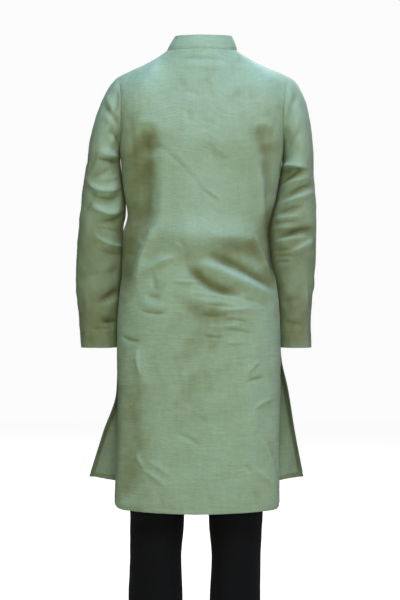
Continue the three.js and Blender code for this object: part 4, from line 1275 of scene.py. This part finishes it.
tint, tint_in, tint_out = group("painted_light_tint", [
    ("Painted Light", "NodeSocketFloat", 0.0), ("Shade", "NodeSocketFloat", 0.0),
    ("Lit Ridge", "NodeSocketColor", (1, 1, 1, 1)), ("Plain", "NodeSocketColor", (0.5, 0.5, 0.5, 1)),
    ("Shaded Trough", "NodeSocketColor", (0, 0, 0, 1)),
], [("Color", "NodeSocketColor")])
painted_light, shade, lit_ridge_colour, plain_colour, shaded_trough_colour = tint_in.outputs[:5]
# Painted shade and painted highlight: a value under 0 mixes towards the darker, olive trough colour, a value
# above 0 towards the lighter, cooler ridge colour.
colour = mixed(tint, product(tint, painted_light, -0.07, clamp=True), plain_colour, shaded_trough_colour)
colour = mixed(tint, product(tint, painted_light, 0.06, clamp=True), colour, lit_ridge_colour)
bright = total(tint, product(tint, shade, 0.36), 0.9)
# Painted shade: a painted light value under -15 darkens the colour further, for the dark lines where sleeve
# and body meet.
contact_shade = product(tint, total(tint, painted_light, 15.0), -0.06, clamp=True)
bright = product(tint, bright, maths(tint, "SUBTRACT", 1.0, product(tint, contact_shade, 0.65)))
scaled = node(tint, "ShaderNodeVectorMath", [(0, colour), (3, bright)], operation="SCALE")
tint.links.new(scaled.outputs[0], tint_out.inputs["Color"])
print("groups:", [g.name for g in bpy.data.node_groups])

# %% [markdown]
# The kurta's dye is a pale sage green. Light grazes the fuzz of the linen, which the sheen stands for.
# Painted shade makes the troughs of the folds darker and more olive, and a painted highlight makes the
# ridges lighter and cooler.

# %% Materials


def new_material(name, rough):
    """A new material of that roughness, with its node tree and its shader."""
    material = bpy.data.materials.new(name)
    material.use_nodes = True
    shader = material.node_tree.nodes["Principled BSDF"]
    shader.inputs["Roughness"].default_value = rough
    return material, material.node_tree, shader


def fabric(name, lit_ridge, plain, shaded_trough, threads, slubs, rough, sheen, sheen_tint, bump):
    """Woven cloth: colour from the painted light value, which paints shade in troughs and light on ridges,
    and from the slubs; relief from the threads.
    """
    material, tree, shader = new_material(name, rough)
    place = node(tree, "ShaderNodeUVMap", uv_map="cloth_metres").outputs[0]
    value = node(tree, "ShaderNodeAttribute", attribute_name="painted_light").outputs["Fac"]
    woven = node(tree, "ShaderNodeGroup", node_tree=weave)
    join(tree, woven, [("Place", place), ("Threads", threads), ("Slubs", slubs)])
    tinted = node(tree, "ShaderNodeGroup", node_tree=tint)
    join(tree, tinted, [
        ("Painted Light", value), ("Shade", woven.outputs["Shade"]),
        ("Lit Ridge", (*lit_ridge, 1)), ("Plain", (*plain, 1)), ("Shaded Trough", (*shaded_trough, 1)),
    ])
    relief = node(tree, "ShaderNodeBump", [("Height", woven.outputs["Height"]), ("Distance", 0.0002),
                                           ("Strength", bump)])
    join(tree, shader, [
        ("Base Color", tinted.outputs["Color"]), ("Normal", relief.outputs[0]), ("Specular IOR Level", 0.25),
        ("Sheen Weight", sheen), ("Sheen Roughness", 0.45), ("Sheen Tint", (*sheen_tint, 1)),
    ])
    return material


def one_colour(name, colour, rough):
    """One colour, a little uneven: a fine noise between 0.86 and 1.12 times its strength."""
    material, tree, shader = new_material(name, rough)
    place = node(tree, "ShaderNodeTexCoord").outputs["Object"]
    noise = node(tree, "ShaderNodeTexNoise", [("Vector", place), ("Scale", 900.0), ("Detail", 3.0)])
    dark, light = (tuple(c * factor for c in colour) + (1,) for factor in (0.86, 1.12))
    join(tree, shader, [("Base Color", mixed(tree, noise.outputs[0], dark, light))])
    return material


linen = fabric("sage_linen", lit_ridge=(0.31, 0.465, 0.4), plain=(0.28, 0.4, 0.31), shaded_trough=(0.175, 0.22, 0.125),
               threads=1500, slubs=1.0, rough=0.85, sheen=0.06, sheen_tint=(0.85, 0.95, 0.85), bump=0.35)
black = fabric("black_cotton", lit_ridge=(0.003, 0.004, 0.009), plain=(0.002, 0.003, 0.0068),
               shaded_trough=(0.001, 0.0015, 0.003), threads=2200, slubs=0.35, rough=0.92,
               sheen=0.02, sheen_tint=(0.7, 0.75, 0.8), bump=0.3)
thread = one_colour("linen_thread", (0.27, 0.365, 0.28), 0.7)
dark_thread = one_colour("dark_thread", (0.012, 0.012, 0.014), 0.7)
shell = one_colour("button_shell", (0.3, 0.37, 0.26), 0.38)

LINEN_NODES = ("back_panel", "front_panel", "sleeve_left", "sleeve_right", "collar", "placket_upper",
               "placket_under")
for name, obj in objects.items():
    obj.data.materials.append(linen if name in LINEN_NODES else black)
for obj in back_hems + front_hems:
    obj.data.materials.append(linen)
for obj, _ in sewing.values():
    obj.data.materials.append(thread)
for obj, _ in dark_sewing.values():
    obj.data.materials.append(dark_thread)
print("materials:", [m.name for m in bpy.data.materials])

# %% [markdown]
# The buttons keep their solids' form, with rounded edges. Two crossed threads hold each one.

# %% Buttons
button_nodes = [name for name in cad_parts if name.startswith("button_")]
threads = []
for name in sorted(button_nodes):
    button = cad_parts[name]
    button.data.materials.clear()
    button.data.materials.append(shell)
    edge = button.modifiers.new("rounded_edge", "BEVEL")
    edge.width, edge.segments, edge.limit_method = 0.0004, 2, "ANGLE"
    low, high = (np.array(corner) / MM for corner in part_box(name))
    middle = (low + high) / 2
    row = row_at(placket_upper["grid"][:, 6, 2], middle[2])
    normal, flat = placket_upper["normal"][row, 6], np.array([1.0, 0, 0])
    steep = np.cross(normal, flat)
    for a, b in ((1, 1), (1, -1)):
        ends = np.array([-1.3, 1.3])[:, None] * (a * flat + b * steep)[None] * 0.72
        threads.append((middle + normal * 1.3 + ends, np.array([normal, normal])))
cross_threads, _ = stitches("button_threads", threads, pitch=0.9, length=2.2, width=0.4, lift=0.1)
cross_threads.data.materials.append(thread)
print("buttons:", len(button_nodes))

# %% [markdown]
# The area of each piece's cloth, summed over its cells; the turned hems are not counted.

# %% Cloth sizes


def area_of(piece, closed=False, keep=None):
    """The sum of half the cross products of each cell's diagonals, in square metres."""
    grid = joined(piece["grid"]) if closed else piece["grid"]
    a, b = grid[1:, 1:] - grid[:-1, :-1], grid[1:, :-1] - grid[:-1, 1:]
    cells = np.linalg.norm(np.cross(a, b), axis=-1) / 2
    return float((cells if keep is None else cells[keep]).sum()) * MM**2


areas = {
    "back_panel": area_of(back), "front_panel": area_of(front, keep=slot),
    "sleeve_left": area_of(sleeves["left"], True), "sleeve_right": area_of(sleeves["right"], True),
    "collar": area_of(collar), "placket_upper": area_of(placket_upper),
    "placket_under": area_of(placket_under), "leg_left": area_of(legs["left"]),
    "leg_right": area_of(legs["right"]), "waistband": area_of(waistband, True),
}
print({name: round(value, 4) for name, value in areas.items()}, "square metres")

# %% [markdown]
# A pale studio: a flat floor under a white sky that only the camera sees. The light is cool from above and
# warmer from the front, so that hollows and sides look olive; painted shade in the cloth's colour makes them
# darker and more olive still. A weaker light stands on each side and one behind, and the camera is at the
# height of the hips.

# %% Studio
FLOOR_REACH, FLOOR_LEVEL = 6.0, -1.452
CAMERA_DISTANCE, CAMERA_X, CAMERA_Z, VIEW_HEIGHT = 3.0, -0.0047, -0.5876, 1.416

floor_mesh = bpy.data.meshes.new("studio_floor")
floor_mesh.from_pydata([(x * FLOOR_REACH, y * FLOOR_REACH, FLOOR_LEVEL)
                        for x, y in ((-1, -1), (1, -1), (1, 1), (-1, 1))], [], [(0, 1, 2, 3)])
floor = add("studio_floor", floor_mesh)
paper, paper_tree, paper_shader = new_material("studio_paper", 0.95)
paper_shader.inputs["Base Color"].default_value = (0.45, 0.45, 0.44, 1)
lit_paper = node(paper_tree, "ShaderNodeEmission", [("Color", (1, 1, 1, 1)), ("Strength", 0.93)])
seen = node(paper_tree, "ShaderNodeLightPath").outputs["Is Camera Ray"]
both = node(paper_tree, "ShaderNodeAddShader", [(0, paper_shader.outputs[0]), (1, lit_paper.outputs[0])])
shaders = [(0, seen), (1, paper_shader.outputs[0]), (2, both.outputs[0])]
chosen = node(paper_tree, "ShaderNodeMixShader", shaders)
paper_tree.links.new(chosen.outputs[0], paper_tree.nodes["Material Output"].inputs[0])
floor.data.materials.append(paper)
floor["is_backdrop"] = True


def lamp(name, place, target, size, power, colour):
    """A round area light at a place, aimed at the target."""
    light = bpy.data.lights.new(name, "AREA")
    light.shape, light.size, light.energy, light.color = "DISK", size, power, colour
    obj = add(name, light)
    obj.location = place
    obj.rotation_euler = (Vector(target) - Vector(place)).to_track_quat("-Z", "Y").to_euler()


# name, place and target in metres, width, power in watts, colour
lamp("key", (0.15, -0.85, 1.7), (0.0, -0.1, -0.4), 0.8, 33, (0.51, 0.71, 1.0))
lamp("over", (0.1, 0.05, 2.0), (0.0, 0.0, -0.5), 0.9, 14, (0.7, 0.9, 1.0))
lamp("high", (0.2, -2.2, 1.6), (0.0, 0.0, -0.6), 0.9, 24, (0.98, 0.96, 1.0))
lamp("frontal", (0.1, -3.2, -0.3), (0.0, 0.0, -0.7), 0.6, 39, (1.0, 0.88, 0.46))
lamp("left", (-2.4, -1.6, 0.2), (0.0, 0.0, -0.6), 1.0, 6, (0.9, 1.0, 0.5))
lamp("right", (2.4, -1.6, 0.2), (0.0, 0.0, -0.6), 1.0, 15, (0.98, 0.9, 0.95))
lamp("behind", (0.6, 2.0, 1.6), (0.0, 0.0, -0.6), 1.2, 75, (0.97, 0.97, 1.0))
world = bpy.data.worlds.new("studio")
bpy.context.scene.world = world
world.use_nodes = True
sky = world.node_tree
ambient = sky.nodes["Background"]
ambient.inputs[0].default_value, ambient.inputs[1].default_value = (1.0, 0.85, 0.5, 1), 0.03
white = node(sky, "ShaderNodeBackground", [(0, (1, 1, 1, 1)), (1, 0.97)])
straight = node(sky, "ShaderNodeLightPath").outputs["Is Camera Ray"]
picked = node(sky, "ShaderNodeMixShader", [(0, straight), (1, ambient.outputs[0]), (2, white.outputs[0])])
sky.links.new(picked.outputs[0], sky.nodes["World Output"].inputs[0])
camera = bpy.data.cameras.new("camera")
camera.sensor_fit, camera.sensor_height, camera.sensor_width = "VERTICAL", 36, 24
camera.lens = camera.sensor_height * CAMERA_DISTANCE / VIEW_HEIGHT
camera_object = add("camera", camera)
camera_object.location = (CAMERA_X, -CAMERA_DISTANCE, CAMERA_Z)
camera_object.rotation_euler = (np.pi / 2, 0, 0)
bpy.context.scene.camera = camera_object
bpy.context.scene.view_settings.view_transform = "Standard"
print("camera lens:", round(camera.lens, 1), "mm")

# %% [markdown]
# The box that the visual pieces fill, without the floor.

# %% Finish
low, high = (list(corner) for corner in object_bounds())
print("visual from", [round(v, 3) for v in low], "to", [round(v, 3) for v in high])
